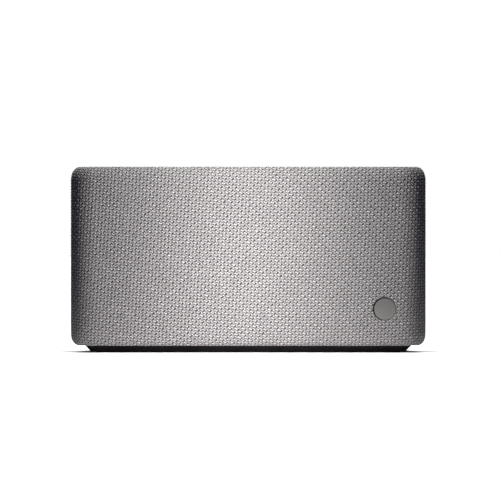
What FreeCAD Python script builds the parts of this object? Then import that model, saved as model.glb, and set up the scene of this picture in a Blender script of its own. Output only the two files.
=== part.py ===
"""A portable smart speaker wrapped in woven cloth, as the assembly that comes apart on a bench.

A sealed plastic cabinet holds two small full-range drivers in front and a passive bass radiator
behind. Two moulded half shells close round it, a cloth sleeve is bonded over both shells, a key
panel closes the top and a tapered plinth closes the bottom. Each piece is its own solid.

Millimetres. +Z up, the front faces -Y, +X is the listener's right. The origin lies on the table
under the middle of the speaker.
"""
import FreeCAD
import Part
import math
import os

V = FreeCAD.Vector
X, Y, Z = V(1, 0, 0), V(0, 1, 0), V(0, 0, 1)
ORIGIN = V(0, 0, 0)

# ---- overall ----
WIDTH = 204.0               # over the cloth
DEPTH = 62.0                # over the cloth
BODY_HEIGHT = 102.5         # cloth, underside to crown
PLINTH_HEIGHT = 4.0         # table to the cloth's underside
EDGE_RADIUS = 14.4          # upright edges, seen from above
CROWN_IN = 4.8              # the top edge's roll, inwards
CROWN_DOWN = 7.5            # and downwards
HEM_IN = 4.4                # the bottom edge's roll, inwards
HEM_UP = 6.5                # and upwards

# ---- cloth and shells ----
CLOTH = 1.0                 # woven cloth
GLUE = 0.15                 # bonding film between cloth and shell
SHELL_WALL = 1.8
SHELL_GAP = 0.1             # between the two half shells
TUCK_DEPTH = 3.0            # cloth turned down round the key panel
HEM_TURN = 4.6              # cloth turned in under the body, past its roll
FLANGE_EDGE = 2.5           # shells' foot flange, from its screws' axes to its edge
SLOT_WIDTH = 3.0            # sound slots
SLOT_PITCH = 5.2
SLOT_FIELD = 40.0           # diameter of the slotted field before a driver

# ---- badge ----
BADGE_DIAMETER = 12.4
BADGE_SINK = 0.3            # its face lies this far behind the cloth
BADGE_GAP = 0.25
BADGE_X = 78.3
BADGE_Z = 25.0
BADGE_PEG = 1.2             # radius
BADGE_PEG_LENGTH = 3.2

# ---- plinth ----
PLINTH_INSET = 8.0          # from the cloth's side to the plinth's top edge
PLINTH_TAPER = 3.4
PLINTH_WALL = 2.4
PLINTH_FLOOR = 2.1
PAD_PROUD = 0.5             # the rubber pad stands this far below the plinth
PAD_SEAT = 0.6              # and is let into it this deep
PAD_MARGIN = 3.0
POST_RADIUS = 4.0
POST_INSET = 34.0           # outer posts, from the cabinet's end

# ---- cabinet ----
CABINET_SIDE = 8.0          # cloth's side to the cabinet's side
CABINET_FACE = 7.0          # cloth's front to the baffle's face, and the same behind
CABINET_RISE = 5.0          # cloth's underside to the cabinet's underside
CABINET_DROP = 10.5         # crown to the cabinet's top
CABINET_WALL = 2.5
CABINET_CORNER = 3.0
BAFFLE = 3.0
GASKET = 0.8
SHELF = 2.0                 # divides the electronics bay from the sealed chamber
BAY_HEIGHT = 17.5
BOSS_RADIUS = 2.9
BOSS_LENGTH = 9.0
BOSS_EDGE = 0.5             # boss or peg to the tub's rim
BOSS_SUNK = 0.5             # boss into the wall beside it
DRIVER_BOSS = 2.6           # radius of the baffle's bosses
DRIVER_BOSS_LENGTH = 4.0
SPACER = 6.0                # side of the pads that keep the shells off the cabinet
SPACER_GAP = 0.1

# ---- screws ----
SCREW_RADIUS = 1.1          # shank
SCREW_PLAY = 0.2            # clearance hole over the shank
THREAD_PLAY = 0.02          # pilot hole over the shank
HEAD_RADIUS = 2.0
HEAD_HEIGHT = 1.3
SCREW_BITE = 3.6            # length of shank in the last piece

# ---- drivers ----
DRIVER_FLANGE = 46.0        # square side
FLANGE_THICK = 1.5
DRIVER_MARGIN = 2.0         # flange to the cabinet's wall
DRIVER_PLAY = 0.2
BASKET_DEPTH = 13.0
BASKET_WALL = 1.2
MAGNET_RADIUS = 15.0
MAGNET_HOLE = 9.0
MAGNET_THICK = 6.0
PLATE_THICK = 3.0
POLE_RADIUS = 6.6
COIL_GAP = 1.0              # pole to top plate
COIL_WALL = 0.5
COIL_PLAY = 0.25            # pole to coil, and coil to plate
CONE_WALL = 0.4
CONE_DEPTH = 5.6
CONE_LIP = 1.4              # flat rim glued to the surround
ROLL_RADIUS = 2.2           # surround's half roll
ROLL_WALL = 0.5
SURROUND_RIM = 1.5          # its outer lip, on the basket's flange
SPIDER_DEPTH = 9.4
SPIDER_THICK = 0.4
SPIDER_RIM = 1.4            # width of the glued rim
SPIDER_FOLDS, SPIDER_WAVE = 6, 0.7
LEDGE = 1.0                 # thickness of its ledge in the basket
JOIN_GAP = 0.05             # bond line between a moving piece and what holds it

# ---- passive radiator ----
RADIATOR_LENGTH = 88.0
RADIATOR_HEIGHT = 46.0
RADIATOR_FLANGE = 5.0
RADIATOR_FRAME = 1.6
RADIATOR_ROLL = 2.6
PISTON_THICK = 1.6
WINDOW_MARGIN = 1.0

# ---- key panel ----
PANEL_SINK = 0.5            # its face lies this far under the crown
PANEL_THICK = 2.0
PANEL_PLAY = 0.2
PANEL_SKIRT = 2.0
SKIRT_WALL = 1.5
PEG_RADIUS = 2.0
PEG_SUNK = 1.0              # the panel's pegs stand this deep in the cabinet
KEY_COUNT = 6
KEY_LENGTH = 14.0
KEY_WIDTH = 7.5
KEY_PITCH = 22.0
KEY_PLAY = 0.25
KEY_PROUD = 0.4
KEY_LIP = 0.9
KEY_LIP_THICK = 0.8
KEY_TRAVEL = 0.7
KEY_STEM = 1.5
LIP_GAP = 0.1
SWITCH_SIDE = 6.0
SWITCH_CLEAR = 0.2          # pressed key's lip to the switch
SWITCH_BITE = 0.4           # the stem stands this deep in its switch
STEM_PLAY = 0.1
KEY_BOARD_DROP = 3.6        # panel's underside to the key board
KEY_BOARD_THICK = 1.2
KEY_BOARD_WIDTH = 22.0
KEY_BOARD_END = 22.0        # board past the middle of the last key
LIGHT_RADIUS = 1.25
LIGHT_COLLAR = 0.8
LIGHT_LIFT = 0.8            # light pipe over the board, for its lamp
LIGHT_OFFSET = 13.0         # past the middle of the first key
MIC_HOLE = 0.6
MIC_BOOT = 2.4
MIC_Y = 8.0

# ---- electronics ----
BOARD_LENGTH = 116.0
BOARD_THICK = 1.6
BOARD_LIFT = 3.5
BOARD_FRONT = 5.2           # cabinet's rim to the board
BOARD_REAR = 1.2
STANDOFF_INSET = 4.0
PORT_RISE = 4.6             # board's top to every port's axis
PORT_LENGTH = 14.0
DC_X, DC_WIDTH, DC_BORE, DC_PIN = -21.0, 9.2, 2.9, 1.0
USB_X, USB_WIDTH, USB_HEIGHT, USB_SHEET, USB_TONGUE = 0.0, 13.2, 5.8, 0.35, 1.9
AUX_X, AUX_WIDTH, AUX_BORE, AUX_NOSE = 21.0, 8.0, 1.8, 3.0
PORT_BACK = 1.5             # closed back of a port
SINK_X, SINK_WIDTH, SINK_HEIGHT = -51.0, 18.0, 10.0
FIN, FIN_PITCH, FIN_COUNT = 1.2, 4.2, 4
CELL_RADIUS = 9.2
CELL_LENGTH = 65.0
CELL_PLAY = 0.3
TRAY_OFF = 0.5              # tray to the baffle
TRAY_WALL = 1.5
TRAY_DROP = 5.0             # the upper cell's axis to the tray's rim

# ---- port panel ----
PORT_PANEL_WIDTH = 72.0
PORT_PANEL_HEIGHT = 17.0
PORT_PANEL_RADIUS = 4.0
PORT_PANEL_THICK = 2.5
PORT_PANEL_SINK = 0.3
PORT_PANEL_PLAY = 0.15
PORT_TUCK = 0.8             # cloth turned in round the port panel
PORT_PLAY = 0.3
PORT_SET_BACK = 0.4
PANEL_SCREW_X = 31.0

# ---- wiring ----
LEAD_RADIUS = 0.8
LEAD_PLAY = 0.4
LEAD_OFF_TRAY = 1.5
LEAD_BEND = 7.0
RIBBON_WIDTH = 6.0
RIBBON_THICK = 0.3
RIBBON_BEND = 2.0
RIBBON_OFF = 0.6            # ribbon's middle to the cabinet's back
RIBBON_BESIDE = 1.0         # radiator's end to the ribbon
RIBBON_PLUG_Y = 6.0         # its end under the key board
PLUG_LENGTH = 4.0           # the connectors at its two ends
PLUG_HEIGHT = 3.0

PAST = 1.0                  # a cut or a join runs this far past a face

# ---- places that follow from the sizes above ----
HALF_X, HALF_Y = WIDTH / 2, DEPTH / 2
CLOTH_FOOT = PLINTH_HEIGHT
CROWN = PLINTH_HEIGHT + BODY_HEIGHT
SHELL_OUT = CLOTH + GLUE
SHELL_IN = SHELL_OUT + SHELL_WALL
TUCK_IN = CROWN_IN + CLOTH / 2           # cloth turns down here, measured in from the side
TUCK_OUT = TUCK_IN + CLOTH
HEM_END = HEM_IN + HEM_TURN
PANEL_IN = TUCK_OUT + PANEL_PLAY

CABINET_X, CABINET_Y = HALF_X - CABINET_SIDE, HALF_Y - CABINET_FACE
CABINET_FOOT, CABINET_TOP = CLOTH_FOOT + CABINET_RISE, CROWN - CABINET_DROP
INNER_X, INNER_Y = CABINET_X - CABINET_WALL, CABINET_Y - CABINET_WALL
BAFFLE_BACK = -CABINET_Y + BAFFLE
RIM_Y = BAFFLE_BACK + GASKET
FOOT_SCREW_Y = -RIM_Y - BOSS_RADIUS - BOSS_EDGE
FLANGE_END = HALF_Y - FOOT_SCREW_Y + FLANGE_EDGE
BAY_FLOOR = CABINET_FOOT + CABINET_WALL
SHELF_FOOT = BAY_FLOOR + BAY_HEIGHT
CHAMBER_FLOOR = SHELF_FOOT + SHELF
CHAMBER_TOP = CABINET_TOP - CABINET_WALL
CHAMBER_MID = (CHAMBER_FLOOR + CHAMBER_TOP) / 2

PANEL_TOP = CROWN - PANEL_SINK
PANEL_FOOT = PANEL_TOP - PANEL_THICK
KEY_BOARD_TOP = PANEL_FOOT - KEY_BOARD_DROP
KEY_BOARD_FOOT = KEY_BOARD_TOP - KEY_BOARD_THICK
LIP_TOP = PANEL_FOOT - LIP_GAP
SWITCH_TOP = LIP_TOP - KEY_LIP_THICK - KEY_TRAVEL - SWITCH_CLEAR

BOARD_FOOT = BAY_FLOOR + BOARD_LIFT
BOARD_TOP = BOARD_FOOT + BOARD_THICK
BOARD_Y0, BOARD_Y1 = RIM_Y + BOARD_FRONT, INNER_Y - BOARD_REAR
PORT_Z = BOARD_TOP + PORT_RISE
PORT_PANEL_Y1 = HALF_Y - PORT_PANEL_SINK
PORT_PANEL_Y0 = PORT_PANEL_Y1 - PORT_PANEL_THICK
PORT_FACE = PORT_PANEL_Y1 - PORT_SET_BACK
RIBBON_X = RADIATOR_LENGTH / 2 + RIBBON_BESIDE + RIBBON_WIDTH / 2
RIBBON_Y = CABINET_Y + RIBBON_OFF
RIBBON_TOP = (CABINET_TOP + KEY_BOARD_FOOT) / 2
RIBBON_FOOT = BOARD_TOP + PLUG_HEIGHT / 2
RIBBON_END = BOARD_Y1 - 2.0

BASKET_RADIUS = DRIVER_FLANGE / 2 - 3.0
DRIVER_X = INNER_X - DRIVER_MARGIN - DRIVER_FLANGE / 2
DRIVER_Z = CHAMBER_MID
DRIVER_SCREW = DRIVER_FLANGE / 2 - 3.6
PILOT = SCREW_RADIUS + THREAD_PLAY
CLEAR_HOLE = SCREW_RADIUS + SCREW_PLAY
KEY_X = [(i - (KEY_COUNT - 1) / 2) * KEY_PITCH for i in range(KEY_COUNT)]
KEY_NAMES = ["power_key", "source_key", "volume_down_key", "play_key", "volume_up_key", "mic_mute_key"]


# ---- shared shapes ----
def box(x0, x1, y0, y1, z0, z1):
    return Part.makeBox(x1 - x0, y1 - y0, z1 - z0, V(x0, y0, z0))


def rod(radius, start, end):
    """A cylinder from one point to another."""
    return Part.makeCylinder(radius, (end - start).Length, start, end - start)


def tube(outer, inner, start, end):
    return rod(outer, start, end).cut(rod(inner, start, end))


def joined(shapes):
    return shapes[0].multiFuse(shapes[1:]).removeSplitter() if len(shapes) > 1 else shapes[0]


def rounded_face(width, height, radius, point):
    """A rounded rectangle about point(0, 0); point turns two plane coordinates into a place."""
    a, b = width / 2, height / 2
    r = min(radius, a, b)
    edges = []
    for i, (cx, cy) in enumerate([(a - r, b - r), (r - a, b - r), (r - a, r - b), (a - r, r - b)]):
        turns = [math.radians(90 * i + step) for step in (0, 45, 90)]
        arc = [point(cx + r * math.cos(t), cy + r * math.sin(t)) for t in turns]
        if edges and (last - arc[0]).Length > 1e-6:
            edges.append(Part.makeLine(last, arc[0]))
        edges.append(Part.Arc(*arc).toShape())
        first, last = (arc[0] if i == 0 else first), arc[2]
    if (last - first).Length > 1e-6:
        edges.append(Part.makeLine(last, first))
    return Part.Face(Part.Wire(edges))


def level_plate(width, depth, radius, z0, z1, x=0.0, y=0.0):
    """A plate that lies flat, with its corners rounded as seen from above."""
    face = rounded_face(width, depth, radius, lambda u, v: V(x + u, y + v, z0))
    return face.extrude(V(0, 0, z1 - z0))


def upright_plate(width, height, radius, y0, y1, x=0.0, z=0.0):
    """A plate that stands facing the front, with its corners rounded as seen from there."""
    face = rounded_face(width, height, radius, lambda u, v: V(x + u, y0, z + v))
    return face.extrude(V(0, y1 - y0, 0))


def outline(inset, z0, z1):
    """The speaker's plan, drawn in from the cloth by inset."""
    return level_plate(WIDTH - 2 * inset, DEPTH - 2 * inset, EDGE_RADIUS - inset, z0, z1)


def inner_outline(inset, z0, z1):
    """A smaller plan inside the speaker's, with tight corners."""
    return level_plate(WIDTH - 2 * inset, DEPTH - 2 * inset, CABINET_CORNER, z0, z1)


def turned(points):
    """A closed section, points in the X-Y plane, turned once round the Y axis."""
    wire = Part.makePolygon([V(px, py, 0) for px, py in points + points[:1]])
    return Part.Face(wire).revolve(ORIGIN, Y, 360)


def screw(place, into):
    """A pan-head screw whose head seats at place; into is its direction, as long as its shank."""
    out = -into / into.Length * HEAD_HEIGHT
    head = Part.makeCylinder(HEAD_RADIUS, HEAD_HEIGHT, place, out)
    return head.fuse(rod(SCREW_RADIUS, place, place + into)).removeSplitter()


def quarter(centre_t, centre_z, reach_t, reach_z):
    """A quarter of an ellipse, from beside its centre to above or below it, in section."""
    centre = V(EDGE_RADIUS - centre_t, 0, centre_z)
    side, end = V(centre.x + reach_t, 0, centre_z), V(centre.x, 0, centre_z + reach_z)
    if abs(reach_z) >= abs(reach_t):
        return Part.Arc(Part.Ellipse(end, side, centre), 0, math.pi / 2).toShape()
    return Part.Arc(Part.Ellipse(side, end, centre), 0, math.pi / 2).toShape()


def band_section(out, back, top_end, foot_end, tuck):
    """The cloth's or the shells' section: a skin between two insets that rolls in at both ends."""
    def at(t, z):
        return V(EDGE_RADIUS - t, 0, z)
    low, high = CLOTH_FOOT + HEM_UP, CROWN - CROWN_DOWN
    edges = [
        Part.makeLine(at(foot_end, CLOTH_FOOT + out), at(HEM_IN, CLOTH_FOOT + out)),
        quarter(HEM_IN, low, HEM_IN - out, out - HEM_UP),
        Part.makeLine(at(out, low), at(out, high)),
        quarter(CROWN_IN, high, CROWN_IN - out, CROWN_DOWN - out),
    ]
    rim = [at(CROWN_IN, CROWN - out)]
    if tuck:
        rim += [at(top_end + back, CROWN - out), at(top_end + back, CROWN - tuck), at(top_end, CROWN - tuck)]
    else:
        rim += [at(top_end, CROWN - out)]
    rim += [at(top_end, CROWN - back), at(CROWN_IN, CROWN - back)]
    edges += [Part.makeLine(a, b) for a, b in zip(rim, rim[1:])]
    edges += [
        quarter(CROWN_IN, high, CROWN_IN - back, CROWN_DOWN - back),
        Part.makeLine(at(back, high), at(back, low)),
        quarter(HEM_IN, low, HEM_IN - back, back - HEM_UP),
        Part.makeLine(at(HEM_IN, CLOTH_FOOT + back), at(foot_end, CLOTH_FOOT + back)),
        Part.makeLine(at(foot_end, CLOTH_FOOT + back), at(foot_end, CLOTH_FOOT + out)),
    ]
    return Part.Face(Part.Wire(Part.__sortEdges__(edges)))


def carried_round(section, half_a, half_b):
    """A section in the X-Z plane, carried round a rectangle of corner centres in the X-Y plane."""
    corners = [(half_a, half_b), (-half_a, half_b), (-half_a, -half_b), (half_a, -half_b)]
    pieces = []
    for i, (cx, cy) in enumerate(corners):
        nx, ny = corners[(i + 1) % 4]
        bend = section.copy()
        bend.rotate(ORIGIN, Z, 90 * i)
        bend.translate(V(cx, cy, 0))
        pieces.append(bend.revolve(V(cx, cy, 0), Z, 90))
        run = section.copy()
        run.rotate(ORIGIN, Z, 90 * (i + 1))
        run.translate(V(cx, cy, 0))
        if abs(nx - cx) + abs(ny - cy) > 1e-6:
            pieces.append(run.extrude(V(nx - cx, ny - cy, 0)))
    return joined(pieces)


def carried_band(*section):
    return carried_round(band_section(*section), HALF_X - EDGE_RADIUS, HALF_Y - EDGE_RADIUS)


# ---- cloth, shells, badge ----
def port_window(grow, y0, y1):
    """The port panel's outline, larger by grow all round."""
    return upright_plate(PORT_PANEL_WIDTH + 2 * grow, PORT_PANEL_HEIGHT + 2 * grow,
                         PORT_PANEL_RADIUS + grow, y0, y1, 0, PORT_Z)


def fabric_sleeve():
    """Woven sleeve, turned down round the key panel, in under the body and in round the ports."""
    cloth = carried_band(0.0, CLOTH, TUCK_IN, HEM_END, TUCK_DEPTH)
    tuck = port_window(PORT_PANEL_PLAY + PORT_TUCK, HALF_Y - TUCK_DEPTH, HALF_Y - CLOTH / 2)
    opening = port_window(PORT_PANEL_PLAY, HALF_Y - 2 * TUCK_DEPTH, HALF_Y + PAST)
    front, behind = V(BADGE_X, -HALF_Y - PAST, BADGE_Z), V(BADGE_X, -HALF_Y + SHELL_OUT + PAST, BADGE_Z)
    hole = rod(BADGE_DIAMETER / 2 + BADGE_GAP, front, behind)
    return cloth.fuse(tuck).cut(opening).cut(hole).removeSplitter()


def sound_slots(x, y0, y1, width, height):
    """Upright slots that fill an oval, for cutting through a shell."""
    count = int((width / 2 - SLOT_WIDTH) / SLOT_PITCH)
    slots = []
    for i in range(-count, count + 1):
        share = 1 - (i * SLOT_PITCH / (width / 2)) ** 2
        slots.append(upright_plate(SLOT_WIDTH, height * math.sqrt(share), SLOT_WIDTH / 2, y0, y1,
                                   x + i * SLOT_PITCH, DRIVER_Z))
    return slots


def foot_screw_places():
    """Where the shells are screwed to the cabinet's underside, two a side on each shell."""
    return [(sx * share * CABINET_X, sy * FOOT_SCREW_Y) for sx in (-1, 1) for share in (0.3, 0.78)
            for sy in (-1, 1)]


def foot_screw_seat():
    """Height at which these screws' heads seat, sunk in the flange so that the plinth clears them."""
    return CLOTH_FOOT + HEAD_HEIGHT + SCREW_PLAY


def half_shells():
    """The moulded shells that carry the cloth: slotted before the drivers and the radiator."""
    skin = carried_band(SHELL_OUT, SHELL_IN, TUCK_IN - GLUE, HEM_END, 0)
    z0, z1 = CLOTH_FOOT + SHELL_OUT, CLOTH_FOOT + SHELL_IN
    flange = outline(HEM_END - 0.5, z0, z1).cut(inner_outline(FLANGE_END, z0 - PAST, z1 + PAST))
    whole = skin.fuse(flange)
    cuts = [rod(CLEAR_HOLE, V(x, y, z0 - PAST), V(x, y, z1 + PAST)) for x, y in foot_screw_places()]
    sunk, seat = HEAD_RADIUS + SCREW_PLAY, foot_screw_seat()
    cuts += [rod(sunk, V(x, y, z0 - PAST), V(x, y, seat)) for x, y in foot_screw_places()]
    for side in (-1, 1):
        cuts += sound_slots(side * DRIVER_X, -HALF_Y, -HALF_Y + SHELL_IN + PAST, SLOT_FIELD, SLOT_FIELD)
    cuts += sound_slots(0, HALF_Y - SHELL_IN - PAST, HALF_Y, RADIATOR_LENGTH, RADIATOR_HEIGHT)
    cuts.append(port_window(2 * PORT_PANEL_PLAY + PORT_TUCK, HALF_Y - SHELL_IN - PAST, HALF_Y))
    cuts.append(rod(BADGE_PEG + THREAD_PLAY, V(BADGE_X, -HALF_Y, BADGE_Z), V(BADGE_X, -HALF_Y + 6, BADGE_Z)))
    whole = whole.cut(cuts).removeSplitter()
    reach = WIDTH
    front = whole.common(box(-reach, reach, -reach, -SHELL_GAP / 2, 0, 2 * reach))
    rear = whole.common(box(-reach, reach, SHELL_GAP / 2, reach, 0, 2 * reach))
    return front, rear


def shell_screws():
    seat = foot_screw_seat()
    length = CABINET_FOOT - seat + CABINET_WALL - 0.3
    return Part.makeCompound([screw(V(x, y, seat), V(0, 0, length)) for x, y in foot_screw_places()])


def badge_disc():
    """A plain metal disc with a softened rim, on a peg through the front shell."""
    face, back = -HALF_Y + BADGE_SINK, -HALF_Y + SHELL_OUT
    disc = rod(BADGE_DIAMETER / 2, V(BADGE_X, face, BADGE_Z), V(BADGE_X, back, BADGE_Z))
    rim = [e for e in disc.Edges if abs(e.CenterOfMass.y - face) < 1e-6 and e.Length > BADGE_DIAMETER]
    disc = disc.makeChamfer(0.25, rim)
    return disc.fuse(rod(BADGE_PEG, V(BADGE_X, back, BADGE_Z), V(BADGE_X, back + BADGE_PEG_LENGTH, BADGE_Z)))


# ---- plinth ----
def post_places():
    reach = CABINET_X - POST_INSET
    return [(-reach, 0), (-reach / 3, 0), (reach / 3, 0), (reach, 0)]


def base_plinth():
    """A tapered tray: its rim clamps the cloth's hem, its posts reach the cabinet."""
    def plan(inset, z):
        radius = max(EDGE_RADIUS - inset, 1.0)
        return rounded_face(WIDTH - 2 * inset, DEPTH - 2 * inset, radius, lambda u, v: V(u, v, z)).OuterWire
    foot, top = plan(PLINTH_INSET + PLINTH_TAPER, PAD_PROUD), plan(PLINTH_INSET, PLINTH_HEIGHT)
    body = Part.makeLoft([foot, top], True)
    floor = PAD_PROUD + PLINTH_FLOOR
    body = body.cut(inner_outline(PLINTH_INSET + PLINTH_TAPER + PLINTH_WALL, floor, PLINTH_HEIGHT + PAST))
    posts = [rod(POST_RADIUS, V(x, y, floor - 0.5), V(x, y, CABINET_FOOT)) for x, y in post_places()]
    body = joined([body] + posts)
    seat = PAD_PROUD + PAD_SEAT
    cuts = [foot_pad(PAD_PROUD - PAST, seat, 0.0)]
    for x, y in post_places():
        cuts.append(rod(CLEAR_HOLE, V(x, y, seat), V(x, y, CABINET_FOOT + PAST)))
        cuts.append(rod(HEAD_RADIUS + SCREW_PLAY, V(x, y, seat - 0.1), V(x, y, seat + HEAD_HEIGHT)))
    return body.cut(cuts)


def foot_pad(z0=0.0, z1=PAD_PROUD + PAD_SEAT, play=0.1):
    """The rubber pad that the speaker stands on."""
    inset = PLINTH_INSET + PLINTH_TAPER + PAD_MARGIN + play
    return level_plate(WIDTH - 2 * inset, DEPTH - 2 * inset, CABINET_CORNER, z0, z1)


def plinth_screws():
    seat = PAD_PROUD + PAD_SEAT + HEAD_HEIGHT
    length = V(0, 0, BAY_FLOOR + BOARD_LIFT - 1 - seat)
    return Part.makeCompound([screw(V(x, y, seat), length) for x, y in post_places()])


# ---- cabinet ----
def baffle_screw_places():
    into_wall = BOSS_RADIUS - BOSS_SUNK
    side, top, foot = INNER_X - into_wall, CHAMBER_TOP - into_wall, BAY_FLOOR + into_wall
    places = [(sx * side, z) for sx in (-1, 1) for z in (foot, top)]
    half_board = BOARD_LENGTH / 2 + BOSS_RADIUS + 1
    return places + [(0, top), (-half_board, foot), (half_board, foot)]


def driver_screw_places():
    return [(sx * DRIVER_X + ox, DRIVER_Z + oz) for sx in (-1, 1)
            for ox in (-DRIVER_SCREW, DRIVER_SCREW) for oz in (-DRIVER_SCREW, DRIVER_SCREW)]


def radiator_screw_places():
    reach = RADIATOR_LENGTH / 2 - RADIATOR_HEIGHT / 2
    z = RADIATOR_HEIGHT / 2 - RADIATOR_FLANGE / 2
    places = [(x, DRIVER_Z + s * z) for x in (-reach, 0, reach) for s in (-1, 1)]
    return places + [(s * (RADIATOR_LENGTH / 2 - RADIATOR_FLANGE / 2), DRIVER_Z) for s in (-1, 1)]


def standoff_places():
    x = BOARD_LENGTH / 2 - STANDOFF_INSET
    return [(sx * x, y) for sx in (-1, 1) for y in (BOARD_Y0 + STANDOFF_INSET, BOARD_Y1 - STANDOFF_INSET)]


def panel_peg_places():
    """Pegs that carry the key panel, clear of the key board's ends."""
    x, y = CABINET_X - PEG_RADIUS - 4, -RIM_Y - PEG_RADIUS - BOSS_EDGE
    return [(sx * x, sy * y) for sx in (-1, 1) for sy in (-1, 1)]


def key_board_posts():
    x = KEY_X[-1] + KEY_BOARD_END - 4
    return [(sx * x, sy * (KEY_BOARD_WIDTH / 2 - 3)) for sx in (-1, 1) for sy in (-1, 1)]


def spacer_places():
    """(x inside, x outside, z) of the pads on the cabinet's ends that steady the shells."""
    reach = HALF_X - SHELL_IN - SPACER_GAP
    heights = (CHAMBER_FLOOR, CHAMBER_TOP - SPACER)
    return [(s * (CABINET_X - PAST), s * reach, z) for s in (-1, 1) for z in heights]


def cabinet_tub():
    """Open to the front: electronics bay below the shelf, sealed chamber above it."""
    width, height, mid = 2 * CABINET_X, CABINET_TOP - CABINET_FOOT, (CABINET_TOP + CABINET_FOOT) / 2
    panel_screw_x = (-PANEL_SCREW_X, PANEL_SCREW_X)
    tub = upright_plate(width, height, CABINET_CORNER, RIM_Y, CABINET_Y, 0, mid)
    tub = tub.cut([box(-INNER_X, INNER_X, RIM_Y - PAST, INNER_Y, BAY_FLOOR, SHELF_FOOT),
                   box(-INNER_X, INNER_X, RIM_Y - PAST, INNER_Y, CHAMBER_FLOOR, CHAMBER_TOP)])
    added = [rod(BOSS_RADIUS, V(x, RIM_Y, z), V(x, RIM_Y + BOSS_LENGTH, z)) for x, z in baffle_screw_places()]
    added += [rod(BOSS_RADIUS, V(x, y, BAY_FLOOR - 1), V(x, y, BOARD_FOOT)) for x, y in standoff_places()]
    added += [rod(BOSS_RADIUS, V(x, y, BAY_FLOOR - 1), V(x, y, BOARD_FOOT - 0.5)) for x, y in post_places()]
    added += [rod(BOSS_RADIUS, V(x, y, CLOTH_FOOT + SHELL_IN), V(x, y, CABINET_FOOT + PAST))
              for x, y in foot_screw_places()]
    added += [rod(BOSS_RADIUS, V(x, y, CABINET_TOP - PAST), V(x, y, KEY_BOARD_FOOT))
              for x, y in key_board_posts()]
    added += [box(min(a, b), max(a, b), -SPACER / 2, SPACER / 2, z - SPACER / 2, z + SPACER / 2)
              for a, b, z in spacer_places()]
    added += [rod(BOSS_RADIUS, V(x, CABINET_Y - PAST, PORT_Z), V(x, PORT_PANEL_Y0, PORT_Z))
              for x in panel_screw_x]
    tub = joined([tub] + added)

    window = RADIATOR_FLANGE - WINDOW_MARGIN
    holes = [upright_plate(RADIATOR_LENGTH - 2 * window, RADIATOR_HEIGHT - 2 * window, RADIATOR_HEIGHT,
                           INNER_Y - PAST, CABINET_Y + PAST, 0, DRIVER_Z)]
    half_window = PANEL_SCREW_X - BOSS_RADIUS - BOSS_EDGE
    holes.append(box(-half_window, half_window, INNER_Y - PAST, CABINET_Y + PAST,
                     BOARD_TOP - PORT_PLAY, SHELF_FOOT - PORT_PLAY))
    half_slot = RIBBON_WIDTH / 2 + PORT_PLAY
    holes.append(box(RIBBON_X - half_slot, RIBBON_X + half_slot, INNER_Y - PAST, CABINET_Y + PAST,
                     RIBBON_FOOT - 0.5, RIBBON_FOOT + RIBBON_BEND))
    holes += [rod(PILOT, V(x, RIM_Y - PAST, z), V(x, RIM_Y + BOSS_LENGTH - 1, z))
              for x, z in baffle_screw_places()]
    holes += [rod(PILOT, V(x, y, BAY_FLOOR - PAST), V(x, y, BOARD_FOOT + PAST)) for x, y in standoff_places()]
    holes += [rod(PILOT, V(x, y, CABINET_FOOT - 1), V(x, y, BOARD_FOOT)) for x, y in post_places()]
    holes += [rod(PILOT, V(x, y, CLOTH_FOOT), V(x, y, BAY_FLOOR - 0.2)) for x, y in foot_screw_places()]
    holes += [rod(PILOT, V(x, CABINET_Y - PAST, PORT_Z), V(x, HALF_Y, PORT_Z)) for x in panel_screw_x]
    holes += [rod(PILOT, V(x, INNER_Y - PAST, z), V(x, CABINET_Y + PAST, z))
              for x, z in radiator_screw_places()]
    holes += [rod(LEAD_RADIUS + LEAD_PLAY, V(x, y, SHELF_FOOT - PAST), V(x, y, CHAMBER_FLOOR + PAST))
              for x, y in lead_places()]
    holes += [rod(PEG_RADIUS + THREAD_PLAY, V(x, y, CABINET_TOP - PEG_SUNK), V(x, y, CABINET_TOP + PAST))
              for x, y in panel_peg_places()]
    return tub.cut(holes).removeSplitter()


def front_baffle():
    width, height, mid = 2 * CABINET_X, CABINET_TOP - CABINET_FOOT, (CABINET_TOP + CABINET_FOOT) / 2
    plate = upright_plate(width, height, CABINET_CORNER, -CABINET_Y, BAFFLE_BACK, 0, mid)
    bosses = [rod(DRIVER_BOSS, V(x, BAFFLE_BACK - PAST, z), V(x, BAFFLE_BACK + DRIVER_BOSS_LENGTH, z))
              for x, z in driver_screw_places()]
    plate = joined([plate] + bosses)
    cuts = [rod(CLEAR_HOLE, V(x, -HALF_Y, z), V(x, 0, z)) for x, z in baffle_screw_places()]
    cuts += [rod(PILOT, V(x, -HALF_Y, z), V(x, BAFFLE_BACK + DRIVER_BOSS_LENGTH - 0.5, z))
             for x, z in driver_screw_places()]
    for side in (-1, 1):
        x = side * DRIVER_X
        seat = DRIVER_FLANGE + 2 * DRIVER_PLAY
        cuts.append(upright_plate(seat, seat, CABINET_CORNER, -CABINET_Y - PAST, -CABINET_Y + FLANGE_THICK,
                                  x, DRIVER_Z))
        cuts.append(rod(BASKET_RADIUS + DRIVER_PLAY, V(x, -HALF_Y, DRIVER_Z), V(x, 0, DRIVER_Z)))
    return plate.cut(cuts)


def baffle_gasket():
    width, height, mid = 2 * CABINET_X, CABINET_TOP - CABINET_FOOT, (CABINET_TOP + CABINET_FOOT) / 2
    ring = upright_plate(width, height, CABINET_CORNER, BAFFLE_BACK, RIM_Y, 0, mid)
    return ring.cut([box(-INNER_X, INNER_X, BAFFLE_BACK - PAST, RIM_Y + PAST, BAY_FLOOR, SHELF_FOOT),
                     box(-INNER_X, INNER_X, BAFFLE_BACK - PAST, RIM_Y + PAST, CHAMBER_FLOOR, CHAMBER_TOP)])


def baffle_screws():
    into = V(0, BAFFLE + GASKET + SCREW_BITE, 0)
    return Part.makeCompound([screw(V(x, -CABINET_Y, z), into) for x, z in baffle_screw_places()])


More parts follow.
